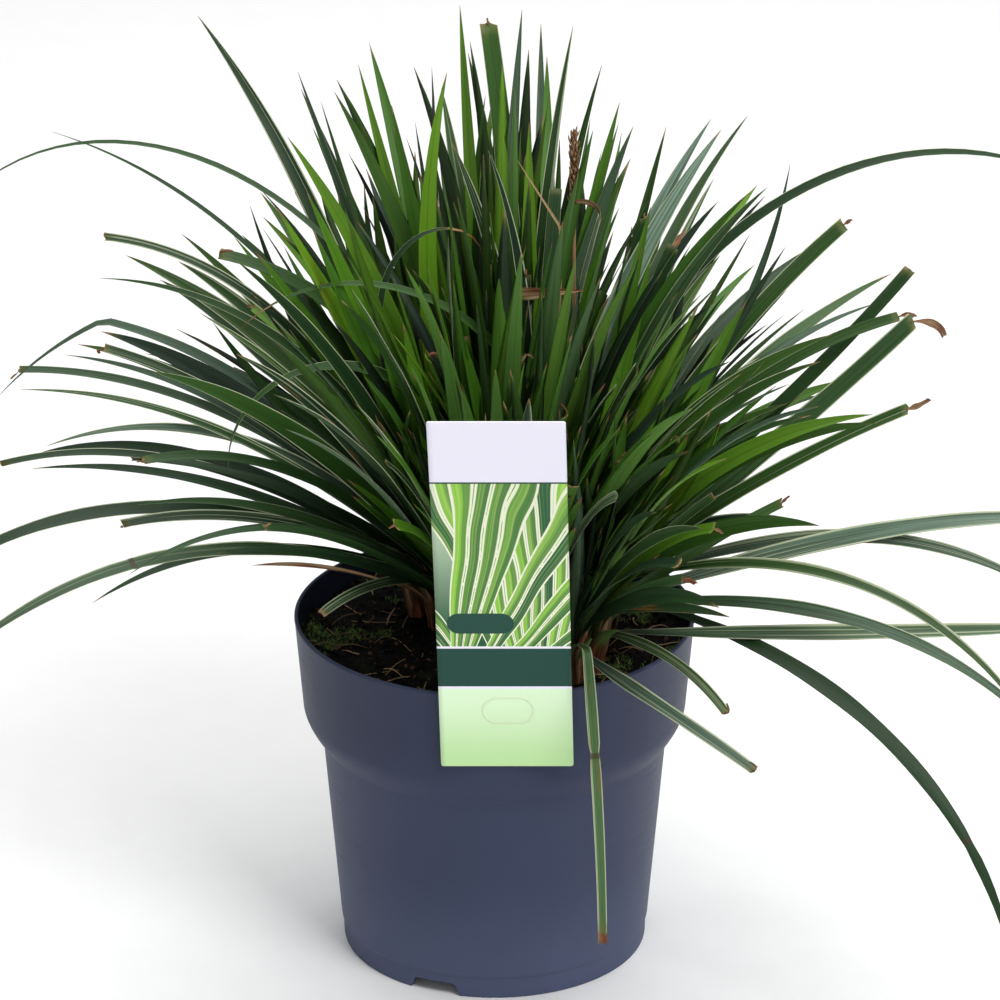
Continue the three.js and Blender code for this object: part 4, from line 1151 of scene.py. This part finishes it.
def build_shoots(shoots, leaves, finishes):
    """Each shoot as one piece: its foot, old sheaths and all its leaves."""
    for i, shoot in enumerate(shoots):
        random = np.random.default_rng(VARIETY.seed + shoot.number)
        own = [leaf for leaf in leaves if leaf.shoot == shoot.number]
        freshness = VARIETY.fresh_inside - VARIETY.less_outside * min(shoot.share, 1.0)
        freshness += VARIETY.more_in_front * (shoot.y < VARIETY.front)
        patches = [patch for leaf in own for patch in dressed_leaf(leaf, random, freshness)]
        patches.append(stem_patch(shoot, random))
        patches += [old_sheath(shoot, random) for _ in range(OLD_SHEATH.count)]
        kind = ("mid", "bright", "deep")[i % 3]
        make_piece(f"leafy_shoot_{i + 1:02d}", patches, [finishes[kind], finishes["sheath"]],
                   [f"shoot_{i + 1:02d}"])


# ---------------------------------------------------------------- flower spike and dead leaves

def build_flower_spike(finish):
    """Dry culm with a slim spike: overlapping pointed scales on a spiral round its top."""
    spike = FLOWER_SPIKE
    random = np.random.default_rng(spike.seed)
    line = centre_line(lone_root(spike.root), **spike.path, start=-spike.sunk,
                       steps=spike.stations)
    radii = np.full(spike.stations + 1, spike.culm_radius)
    patches = [tube(line.point, line.across, line.up, radii, spike.culm_sides, seed=0.4)]
    order = np.linspace(0, 1, spike.scales)
    share = spike.spike_from + (1 - spike.spike_from) * order * spike.filled
    swell = (spike.spike_radius - spike.culm_radius) * np.sin(np.pi * (0.06 + 0.9 * order)) ** 0.5
    part = np.linspace(0, 1, spike.scale_stations + 1)
    for k in range(spike.scales):
        station = min(int(share[k] * spike.stations), spike.stations - 1)
        turn = math.radians(k * GOLDEN_ANGLE)
        out = line.across[station] * math.cos(turn) + line.up[station] * math.sin(turn)
        way = unit(line.way[station] + out * random.uniform(*spike.scale_spread))
        side = np.cross(way, out)
        below, above = line.point[station:station + 2]
        on_culm = below + (above - below) * (share[k] * spike.stations - station)
        centre = on_culm + out * (spike.culm_radius * 0.6 + 0.35 * swell[k])
        length = random.uniform(*spike.scale_length)
        ways, sides, ups = (
            np.tile(axis, (len(part), 1)) for axis in (way, side, unit(np.cross(way, side))))
        scale = Sizes(point=centre + way * (part * length)[:, None], part=part, way=ways,
                      across=sides, up=ups)
        leaf = leaf_patch(scale, random.uniform(*spike.scale_width), "point", random, length,
                          plain=True)
        patches.append(Patch(leaf.points, leaf.faces, leaf.uv, seed=random.random()))
    make_piece("sedge_flower_spike", patches, [finish], ["flower_spike"])


def build_dry_leaves(finish):
    """The two dead leaves: narrow, twisted and curled along their length."""
    for i, leaf in enumerate(DRY_LEAVES):
        random = np.random.default_rng(leaf.seed)
        line = centre_line(lone_root(leaf.root), **leaf.path, start=0, steps=40)
        blade = leaf_patch(line, leaf.width, "point", random, leaf.path["length"])
        surface = Patch(blade.points, blade.faces, blade.uv, seed=leaf.shade)
        make_piece(f"dead_leaf_{i + 1}", [surface], [finish], [f"dry_leaf_{i + 1}"])


# ---------------------------------------------------------------- pot

def profile_rows(rows, radius, height=0):
    """Rows of (radius, height), from rows of how far they lie beyond a radius and a height."""
    return [[radius + beyond, height + above] for beyond, above in rows]


def pot_outer_wall():
    """Outer wall from the foot up, as (radius, height): a ring, a ledge, a straight taper, a
    shoulder on a quadratic curve, and the straight band."""
    t = np.linspace(0, 1, POT.shoulder_steps)[:, None]
    below, bend, above = np.array([
        [POT.body_top_radius, POT.body_top], SHOULDER_BEND, [POT.band_foot_radius, POT.band_foot],
    ])
    return np.concatenate([
        profile_rows(RING_OUTSIDE, POT.ring_radius),
        profile_rows([(-0.1, 0), (0.05, 1)], POT.body_foot_radius, POT.body_foot),
        (1 - t) ** 2 * below + 2 * t * (1 - t) * bend + t ** 2 * above,
        [[POT.band_foot_radius + 0.12, POT.band_foot + 0.7],
         [POT.rim_radius - POT.rim_inset, POT.band_top]],
    ])


def pot_radius(height):
    """Radius of the outer wall at a height."""
    wall = pot_outer_wall()
    return np.interp(height, wall[:, 1], wall[:, 0])


def notch_lift(height, azimuth):
    """Raises the foot ring over its notches: to the notch's height, with slanted sides."""
    lifted = height
    for middle in NOTCH.azimuths:
        off = np.abs((azimuth - middle + 180) % 360 - 180)
        side = NOTCH.width / 2 - np.radians(off) * POT.ring_radius
        top = NOTCH.height * np.clip(side / ((NOTCH.width - NOTCH.top_width) / 2), 0, 1)
        lifted = np.where(height < POT.floor_underside, np.maximum(lifted, top), lifted)
    return lifted


def build_pot(finish):
    """The pot: one profile turned round the axis, with notches in the foot ring, and drain
    holes cut through the raised floor."""
    ring_inside = POT.ring_radius - POT.ring_thickness
    wall = pot_outer_wall()
    inner = wall[wall[:, 1] > POT.body_foot + 0.5] - [POT.wall, 0]
    floor_top = POT.floor_underside + POT.floor
    profile = np.concatenate([
        [[0, POT.floor_underside]],
        profile_rows(RING_INSIDE, ring_inside),
        profile_rows(RING_EDGE, POT.ring_radius),
        wall,
        profile_rows(RIM_LIP, POT.rim_radius - POT.rim_inset, POT.band_top),
        inner[::-1],
        [[POT.body_foot_radius - POT.wall - 0.4, floor_top], [0, floor_top]],
    ])
    pot = make_piece("nursery_pot", [turned(profile[::-1], POT.columns, notch_lift)], [finish],
                     ["pot"])
    cut_drain_holes(pot)


def cut_drain_holes(pot):
    """Cuts the ring of round holes through the floor of the pot."""
    hole = DRAIN_HOLE
    across, up = np.tile([1.0, 0, 0], (2, 1)), np.tile([0, 1.0, 0], (2, 1))
    rods = []
    for i in range(hole.count):
        x, y = plan((i + 0.5) * 360 / hole.count, hole.ring_radius)
        centre = np.array([[x, y, POT.floor_underside - hole.below],
                           [x, y, POT.floor_underside + hole.above]])
        rods.append(tube(centre, across, up, np.full(2, hole.radius), hole.sides))
    cutter = make_piece("drain_cutter", rods, [])
    modifier = pot.modifiers.new("drain_holes", "BOOLEAN")
    modifier.operation = "DIFFERENCE"
    modifier.object = cutter
    evaluated = pot.evaluated_get(bpy.context.evaluated_depsgraph_get())
    cut_mesh = bpy.data.meshes.new_from_object(evaluated)
    pot.modifiers.clear()
    pot.data = cut_mesh
    bpy.data.objects.remove(cutter)


# ---------------------------------------------------------------- soil

def soil_edge(gap):
    """Radius of the compost's edge, that far off the pot's wall."""
    return pot_radius(SOIL.edge_height) - POT.wall - gap


def soil_height(x, y):
    """Top of the compost: the solid's gentle mound, with lumps of four sizes."""
    mound = np.interp(np.hypot(x, y), [0, SOIL.flat_radius, soil_edge(0)],
                      [SOIL.top_height, SOIL.top_height, SOIL.edge_height])
    return mound + sum(
        high * lumps(x, y, size, seed) for seed, (size, high) in enumerate(SOIL.lumps, 1))


def build_soil(finish):
    """The compost: its lumpy top on a polar grid, then down the pot's wall and across below."""
    azimuth = np.linspace(0, 2 * np.pi, SOIL.columns, endpoint=False)
    radius = soil_edge(SOIL.gap) * (np.arange(1, SOIL.rows + 1) / SOIL.rows) ** SOIL.row_power
    x = radius[:, None] * np.cos(azimuth)
    y = radius[:, None] * np.sin(azimuth)
    top = np.stack([x, y, soil_height(x, y)], -1)
    heights = np.array([POT.band_foot, POT.body_top, POT.body_foot + 2])
    radii = pot_radius(heights) - POT.wall - SOIL.gap
    side = np.stack([radii[:, None] * np.cos(azimuth), radii[:, None] * np.sin(azimuth),
                     np.repeat(heights[:, None], SOIL.columns, 1)], -1)
    surface = closed_rings(np.concatenate([top, side]), [0, 0, top[0, :, 2].mean()],
                           [0, 0, POT.body_foot + 1])
    make_piece("potting_compost", [surface], [finish], ["soil"])


def bare_places(count, random, shoots):
    """Random places on the soil that no stem stands on, as x and y."""
    radius = soil_edge(1.5) * np.sqrt(random.random(count * 2))
    turn = random.uniform(0, 2 * np.pi, count * 2)
    places = np.stack([radius * np.cos(turn), radius * np.sin(turn)], 1)
    roots = np.array([[shoot.x, shoot.y] for shoot in shoots])
    free = np.linalg.norm(places[:, None] - roots, axis=-1).min(1) > STEM.radius + 1
    return places[free][:count]


def random_turns(count, random):
    """Random rotation matrices, from normalised random quaternions."""
    w, x, y, z = unit(random.normal(size=(count, 4))).T
    return np.stack([
        1 - 2 * (y * y + z * z), 2 * (x * y - w * z), 2 * (x * z + w * y),
        2 * (x * y + w * z), 1 - 2 * (x * x + z * z), 2 * (y * z - w * x),
        2 * (x * z - w * y), 2 * (y * z + w * x), 1 - 2 * (x * x + y * y),
    ], -1).reshape(count, 3, 3)


def make_scatter(name, points, faces, random, finish, flat=False):
    """One piece on the soil of many small shapes that have the same faces and their own seeds."""
    count, corners = points.shape[:2]
    numbers = np.array(faces)[None] + corners * np.arange(count)[:, None, None]
    seeds = np.repeat(random.random(count), corners)
    make_piece(name, [Patch(points, [numbers.reshape(-1, 3)], seed=seeds)], [finish],
               flat=flat)


def build_crumbs(shoots, finish):
    """Bark and peat crumbs on the soil: octahedra, each stretched and turned at random."""
    random = np.random.default_rng(CRUMBS.seed)
    places = bare_places(CRUMBS.count, random, shoots)
    count = len(places)
    corners = np.array([[1, 0, 0], [0, 1, 0], [-1, 0, 0], [0, -1, 0], [0, 0, 1], [0, 0, -1.0]])
    faces = [[0, 1, 4], [1, 2, 4], [2, 3, 4], [3, 0, 4],
             [1, 0, 5], [2, 1, 5], [3, 2, 5], [0, 3, 5]]
    size = CRUMBS.size + CRUMBS.larger * random.random((count, 1)) ** CRUMBS.larger_power
    shape = corners * (size * random.uniform(*CRUMBS.stretch, (count, 3)))[:, None]
    shape = shape * random.uniform(*CRUMBS.uneven, (count, 6, 1))
    shape = shape @ random_turns(count, random)
    height = soil_height(*places.T) + size[:, 0] * CRUMBS.raised
    points = shape + np.column_stack([places, height])[:, None]
    make_scatter("bark_crumbs", points, faces, random, finish, flat=True)


def build_fibres(shoots, finish):
    """Roots and straws that lie on the soil: thin bent tubes along random arcs."""
    random = np.random.default_rng(FIBRES.seed)
    share = np.linspace(0, 1, FIBRES.steps + 1)
    up = np.tile([0, 0, 1.0], (len(share), 1))
    patches = []
    for place in bare_places(FIBRES.count, random, shoots):
        heading, curl = random.uniform(0, 360), random.normal(0, FIBRES.curl)
        turn = np.radians(heading + curl * share)
        step = random.uniform(*FIBRES.length) / FIBRES.steps
        plan_points = place + np.cumsum(np.stack([np.cos(turn), np.sin(turn)], 1) * step, 0)
        if np.hypot(*plan_points.T).max() > soil_edge(1):
            continue
        lift = FIBRES.raised + random.uniform(*FIBRES.arch) * np.sin(np.pi * share)
        ground = soil_height(*plan_points.T)
        height = ground * FIBRES.follows_soil + ground.mean() * (1 - FIBRES.follows_soil) + lift
        radius = random.uniform(*FIBRES.radius) * (1 - FIBRES.thinner * share)
        patches.append(tube(np.column_stack([plan_points, height]), level_across(turn), up,
                            radius, FIBRES.sides, seed=random.random()))
    make_piece("root_fibres", patches, [finish])


def build_moss(shoots, finish):
    """Moss: sprigs of pointed leaflets in patches, each leaflet a slim three-sided spike."""
    random = np.random.default_rng(MOSS.seed)
    places = bare_places(MOSS.count, random, shoots)
    grown = sum(share * lumps(*places.T, size, seed) for size, share, seed in MOSS.patches)
    sprigs = np.repeat(places[grown > MOSS.grown_from], MOSS.leaflets, 0)
    count = len(sprigs)
    sprigs = sprigs + random.normal(0, MOSS.spread, (count, 2))
    turn, tilt = random.uniform(0, 2 * np.pi, count), random.uniform(*MOSS.tilt, count)
    way, side = way_at(tilt, turn), level_across(turn)
    foot = np.column_stack([sprigs, soil_height(*sprigs.T) - MOSS.sunk])
    width, length = (random.uniform(*span, (count, 1)) for span in (MOSS.width, MOSS.length))
    points = np.stack([foot + side * width, foot - side * width,
                       foot + np.cross(way, side) * width, foot + way * length], 1)
    make_scatter("moss_sprigs", points, [[0, 2, 3], [2, 1, 3], [1, 0, 3], [0, 1, 2]], random,
                 finish)


# ---------------------------------------------------------------- care label

def label_back(steps=LABEL.steps):
    """Side view of the label's back face, from its foot up, as rows of (y, z). It lies along
    the band up to the rim and then bends forward evenly."""
    step = LABEL.height / steps
    above_rim = LABEL.height - (POT.height - LABEL.foot_height)
    z = LABEL.foot_height
    y = -(float(pot_radius(z)) + LABEL.clearance)
    rows = [(y, z)]
    for _ in range(steps):
        above = max(z + step / 2 - POT.height, 0) / above_rim
        slope = math.radians(LABEL.band_slope + (LABEL.top_slope - LABEL.band_slope) * above)
        y -= step * math.sin(slope)
        z += step * math.cos(slope)
        rows.append((y, z))
    return np.array(rows)


LABEL_BACK = label_back()


def label_y(height):
    """The label's back face at a height."""
    return np.interp(height, LABEL_BACK[:, 1], LABEL_BACK[:, 0])


def build_label(finish):
    """The label: a thin card with rounded corners, bent along its side view, and a hook over
    the rim behind it."""
    line = label_back(LABEL.rows)
    corner = LABEL.corner * np.array(LABEL.corner_steps) / LABEL.height
    even = np.linspace(0, 1, len(line))
    share = np.concatenate([corner, even[1:-1], 1 - corner[::-1]])
    line = np.stack([np.interp(share, even, line[:, k]) for k in (0, 1)], 1)
    from_end = np.minimum(share, 1 - share) * LABEL.height
    inset = LABEL.corner - np.sqrt(np.maximum(
        LABEL.corner ** 2 - np.maximum(LABEL.corner - from_end, 0) ** 2, 0))
    half = LABEL.width / 2 - inset
    middle = LABEL.foot_x + (LABEL.top_x - LABEL.foot_x) * share
    across = np.linspace(-1, 1, LABEL.columns)
    ring = np.concatenate([across, across[::-1]])
    is_back = np.repeat([0.0, 1.0], LABEL.columns)
    slope = np.gradient(line, share, axis=0)
    outward = unit(np.stack([-slope[:, 1], slope[:, 0]], 1))
    x = middle[:, None] + half[:, None] * ring
    offset = LABEL.thickness * (1 - is_back)
    y = line[:, :1] + outward[:, :1] * offset
    z = line[:, 1:] + outward[:, 1:] * offset
    u, v = np.broadcast_arrays((ring + 1) / 2, share[:, None])
    card = Patch(np.stack([x, y, z], -1), closed_grid(len(line), len(ring), inside_out=True),
                 np.stack([u, v], -1), back=np.broadcast_to(is_back, u.shape))
    make_piece("care_label", [card, label_hook()], [finish], ["label"])


def label_hook():
    """The hook: a side view of six corners, given its width across."""
    over = POT.height + LABEL.clearance
    reach = LABEL.middle_x + LABEL.hook_width / 2
    inner_wall = float(pot_radius(over - LABEL.hook_depth)) - POT.wall
    inside = 3 * LABEL.clearance - math.sqrt(inner_wall ** 2 - reach ** 2)
    back = float(label_y(over))
    t = LABEL.thickness
    side_view = np.array([
        [back - t / 2, over], [inside, over], [inside, over - LABEL.hook_depth],
        [inside + t, over - LABEL.hook_depth], [inside + t, over + t], [back - t / 2, over + t],
    ])
    x = LABEL.middle_x + np.array([-0.5, 0.5]) * LABEL.hook_width
    points = np.stack([np.column_stack([np.full(6, side), side_view]) for side in x])
    quads = grid_quads(2, 6, wrap=True)[:, ::-1]
    ends = [np.array([[5, 4, 1, 0]]), np.array([[6, 7, 10, 11]]),
            np.array([[4, 3, 2, 1]]), np.array([[7, 8, 9, 10]])]
    return Patch(points, [quads, *ends], back=1.0)


# Heights of the label's printed fields, as shares of its length, their colours, and the middle
# and half size of the two rounded boxes on them.
PRINT = Sizes(
    head=0.802, picture_top=0.797, picture_foot=0.32, band_top=0.314, band_foot=0.212,
    foot_top=0.206, white="f3f0ff", dark_green="17463c", border="24483c", foot_dark="c0e7a6",
    foot_light="e2fbd6", badge=((0.33, 0.383), (0.25, 0.028)), badge_colour="1c4a3e",
    slot=((0.52, 0.148), (0.19, 0.033)), slot_colour="e4f2c8", back="e9e8ec",
)


def label_finish():
    """Printed card under a thin clear film: a pale head field, a field of fanned grass stripes,
    a dark green band and a light green foot field with the pressed outline of a slot."""
    finish = Finish("printed_card", Specular_IOR_Level=0.2, Coat_Weight=0.06,
                    Coat_Roughness=0.15)
    u, v = finish.uv()
    back = finish.value("back")
    white = colour(PRINT.white)

    picture = grass_print(finish, u, v)
    fields = finish.mix(finish.step(v, 0.0, PRINT.foot_top), colour(PRINT.foot_dark),
                        colour(PRINT.foot_light))
    for start, field in (
            (PRINT.foot_top, white), (PRINT.band_foot, colour(PRINT.dark_green)),
            (PRINT.band_top, white), (PRINT.picture_foot, picture),
            (PRINT.picture_top, colour(PRINT.border)), (PRINT.head, white)):
        fields = finish.mix(v > start, fields, field)

    badge = rounded_box(finish, u, v, *PRINT.badge)
    fields = finish.mix(finish.step(badge, 0.004, -0.004), fields, colour(PRINT.badge_colour))
    slot = rounded_box(finish, u, v, *PRINT.slot)
    line = finish.step(abs(slot), 0.012, 0.002)
    fields = finish.mix(line * 0.5, fields, colour(PRINT.slot_colour))
    base = finish.mix(back, fields, colour(PRINT.back))
    return finish.feed(
        Base_Color=base,
        Roughness=0.3 + line * 0.1,
        Normal=finish.bump(line, 0.0003),
    )


def grass_print(finish, u, v):
    """Printed picture of the label: two layers of grass blades that fan out from below, every
    blade with its own green, a pale margin and a darker half."""
    picture = finish.mix(finish.step(v, PRINT.picture_foot, PRINT.picture_top),
                         colour("1c5a38"), colour("cfe6c6"))
    for middle, foot, count, ground in ((0.75, 0.0, 17.0, 0.35), (0.1, 0.12, 13.0, 0.45)):
        turn = finish.math("ARCTAN2", (u - middle) * 0.32, v - foot)
        bent = turn * count + finish.noise(finish.vector(u, v * 1.5, middle), 2.2, 1.0) * 1.5
        within = finish.math("FRACT", bent)
        number = finish.math("FLOOR", bent)
        chance = finish.node("ShaderNodeTexWhiteNoise", {"noise_dimensions": "1D"},
                             {"W": number + middle})
        blade = finish.mix(finish.step(chance, ground, 1.0), colour("12553a"), colour("8fcc46"))
        lines = finish.noise(finish.vector(bent * 9, v, middle), 1.0, 1.0)
        blade = finish.mix(finish.step(lines, 0.4, 0.7) * 0.4, blade, colour("c9e67e"))
        blade = finish.mix(finish.step(within, 0.48, 0.6) * 0.55, blade, colour("1c5c3a"))
        edge = abs(within - 0.5)
        blade = finish.mix(finish.step(edge, 0.33, 0.38), blade, colour("f1f5d8"))
        shown = finish.step(edge, 0.49, 0.47) * (chance > ground)
        picture = finish.mix(shown, picture, blade)
    return picture


def rounded_box(finish, u, v, middle, half):
    """Distance from the edge of a box with round ends on the label, in shares of its width."""
    stretch = LABEL.height / LABEL.width
    end_radius = half[1] * stretch
    along = finish.math("MAXIMUM", abs(u - middle[0]) - (half[0] - end_radius), 0.0)
    up = (v - middle[1]) * stretch
    return finish.math("SQRT", along * along + up * up) - end_radius


# ---------------------------------------------------------------- stage, light and camera

def build_stage():
    """Floor, lights and camera of a plain studio."""
    bpy.ops.mesh.primitive_plane_add(size=STUDIO.floor)
    floor = bpy.context.object
    floor.name = "studio_floor"
    floor.data.materials.append(floor_finish())

    world = bpy.context.scene.world or bpy.data.worlds.new("studio")
    bpy.context.scene.world = world
    world.use_nodes = True
    background = world.node_tree.nodes["Background"]
    background.inputs["Color"].default_value = (1, 1, 1, 1)
    background.inputs["Strength"].default_value = STUDIO.sky
    bpy.context.scene.view_settings.view_transform = "Standard"
    for lamp in STUDIO.lamps:
        area_light(*lamp)

    camera = bpy.data.objects.new("camera", bpy.data.cameras.new("camera"))
    bpy.context.scene.collection.objects.link(camera)
    camera.location = (CAMERA.x * MM, CAMERA.y * MM, CAMERA.z * MM)
    camera.rotation_euler = (math.radians(90 - CAMERA.pitch), 0, 0)
    camera.data.sensor_width = CAMERA.sensor
    camera.data.lens = CAMERA.focal * CAMERA.sensor / CAMERA.image
    camera.data.clip_start = CAMERA.nearest
    bpy.context.scene.camera = camera


def area_light(name, place, size, power):
    """A square soft light that looks at the middle of the plant."""
    light = bpy.data.lights.new(name, "AREA")
    light.size = size
    light.energy = power
    lamp = bpy.data.objects.new(name, light)
    bpy.context.scene.collection.objects.link(lamp)
    lamp.location = place
    aim = np.array(STUDIO.aim) - np.array(place)
    lamp.rotation_euler = (
        math.atan2(math.hypot(aim[0], aim[1]), -aim[2]), 0, math.atan2(-aim[0], aim[1]))


# ---------------------------------------------------------------- the whole scene

def grow_leaves(shoots):
    """All leaves of the plant: marked ones, the filling ones, stray ones and the undergrowth."""
    leaves = listed_leaves(MARKED_LEAVES, shoots)
    lone = [
        Sizes(shoot=-1 - i, width=stalk.width,
              line=centre_line(lone_root(stalk.root), **stalk.path, start=0))
        for i, stalk in enumerate([FLOWER_SPIKE, *DRY_LEAVES])
    ]
    standing = Standing(lone + leaves)
    for shoot in shoots:
        marked = sum(leaf.shoot == shoot.number for leaf in leaves)
        grown = fill_leaves(shoot, standing, marked)
        standing.add(grown)
        leaves += grown
    stray = listed_leaves(STRAY_LEAVES, shoots)
    leaves += stray
    standing.add(stray)
    for shoot in shoots:
        leaves += undergrowth(shoot, standing, TALL)
        leaves += undergrowth(shoot, standing, SHORT)
    return leaves


build_stage()
shoots = lay_out_shoots()
build_pot(pot_finish())
build_soil(soil_finish())
build_crumbs(shoots, crumb_finish())
build_fibres(shoots, fibre_finish())
build_moss(shoots, moss_finish())
build_label(label_finish())
leaf_finishes = {
    "mid": leaf_finish("leaf_mid", "17321b", "53851a"),
    "bright": leaf_finish("leaf_bright", "1f3c1d", "68981f"),
    "deep": leaf_finish("leaf_deep", "142c1e", "45751b"),
    "sheath": sheath_finish(),
}
build_shoots(shoots, grow_leaves(shoots), leaf_finishes)
dead_finish = dead_leaf_finish()
build_flower_spike(dead_finish)
build_dry_leaves(dead_finish)
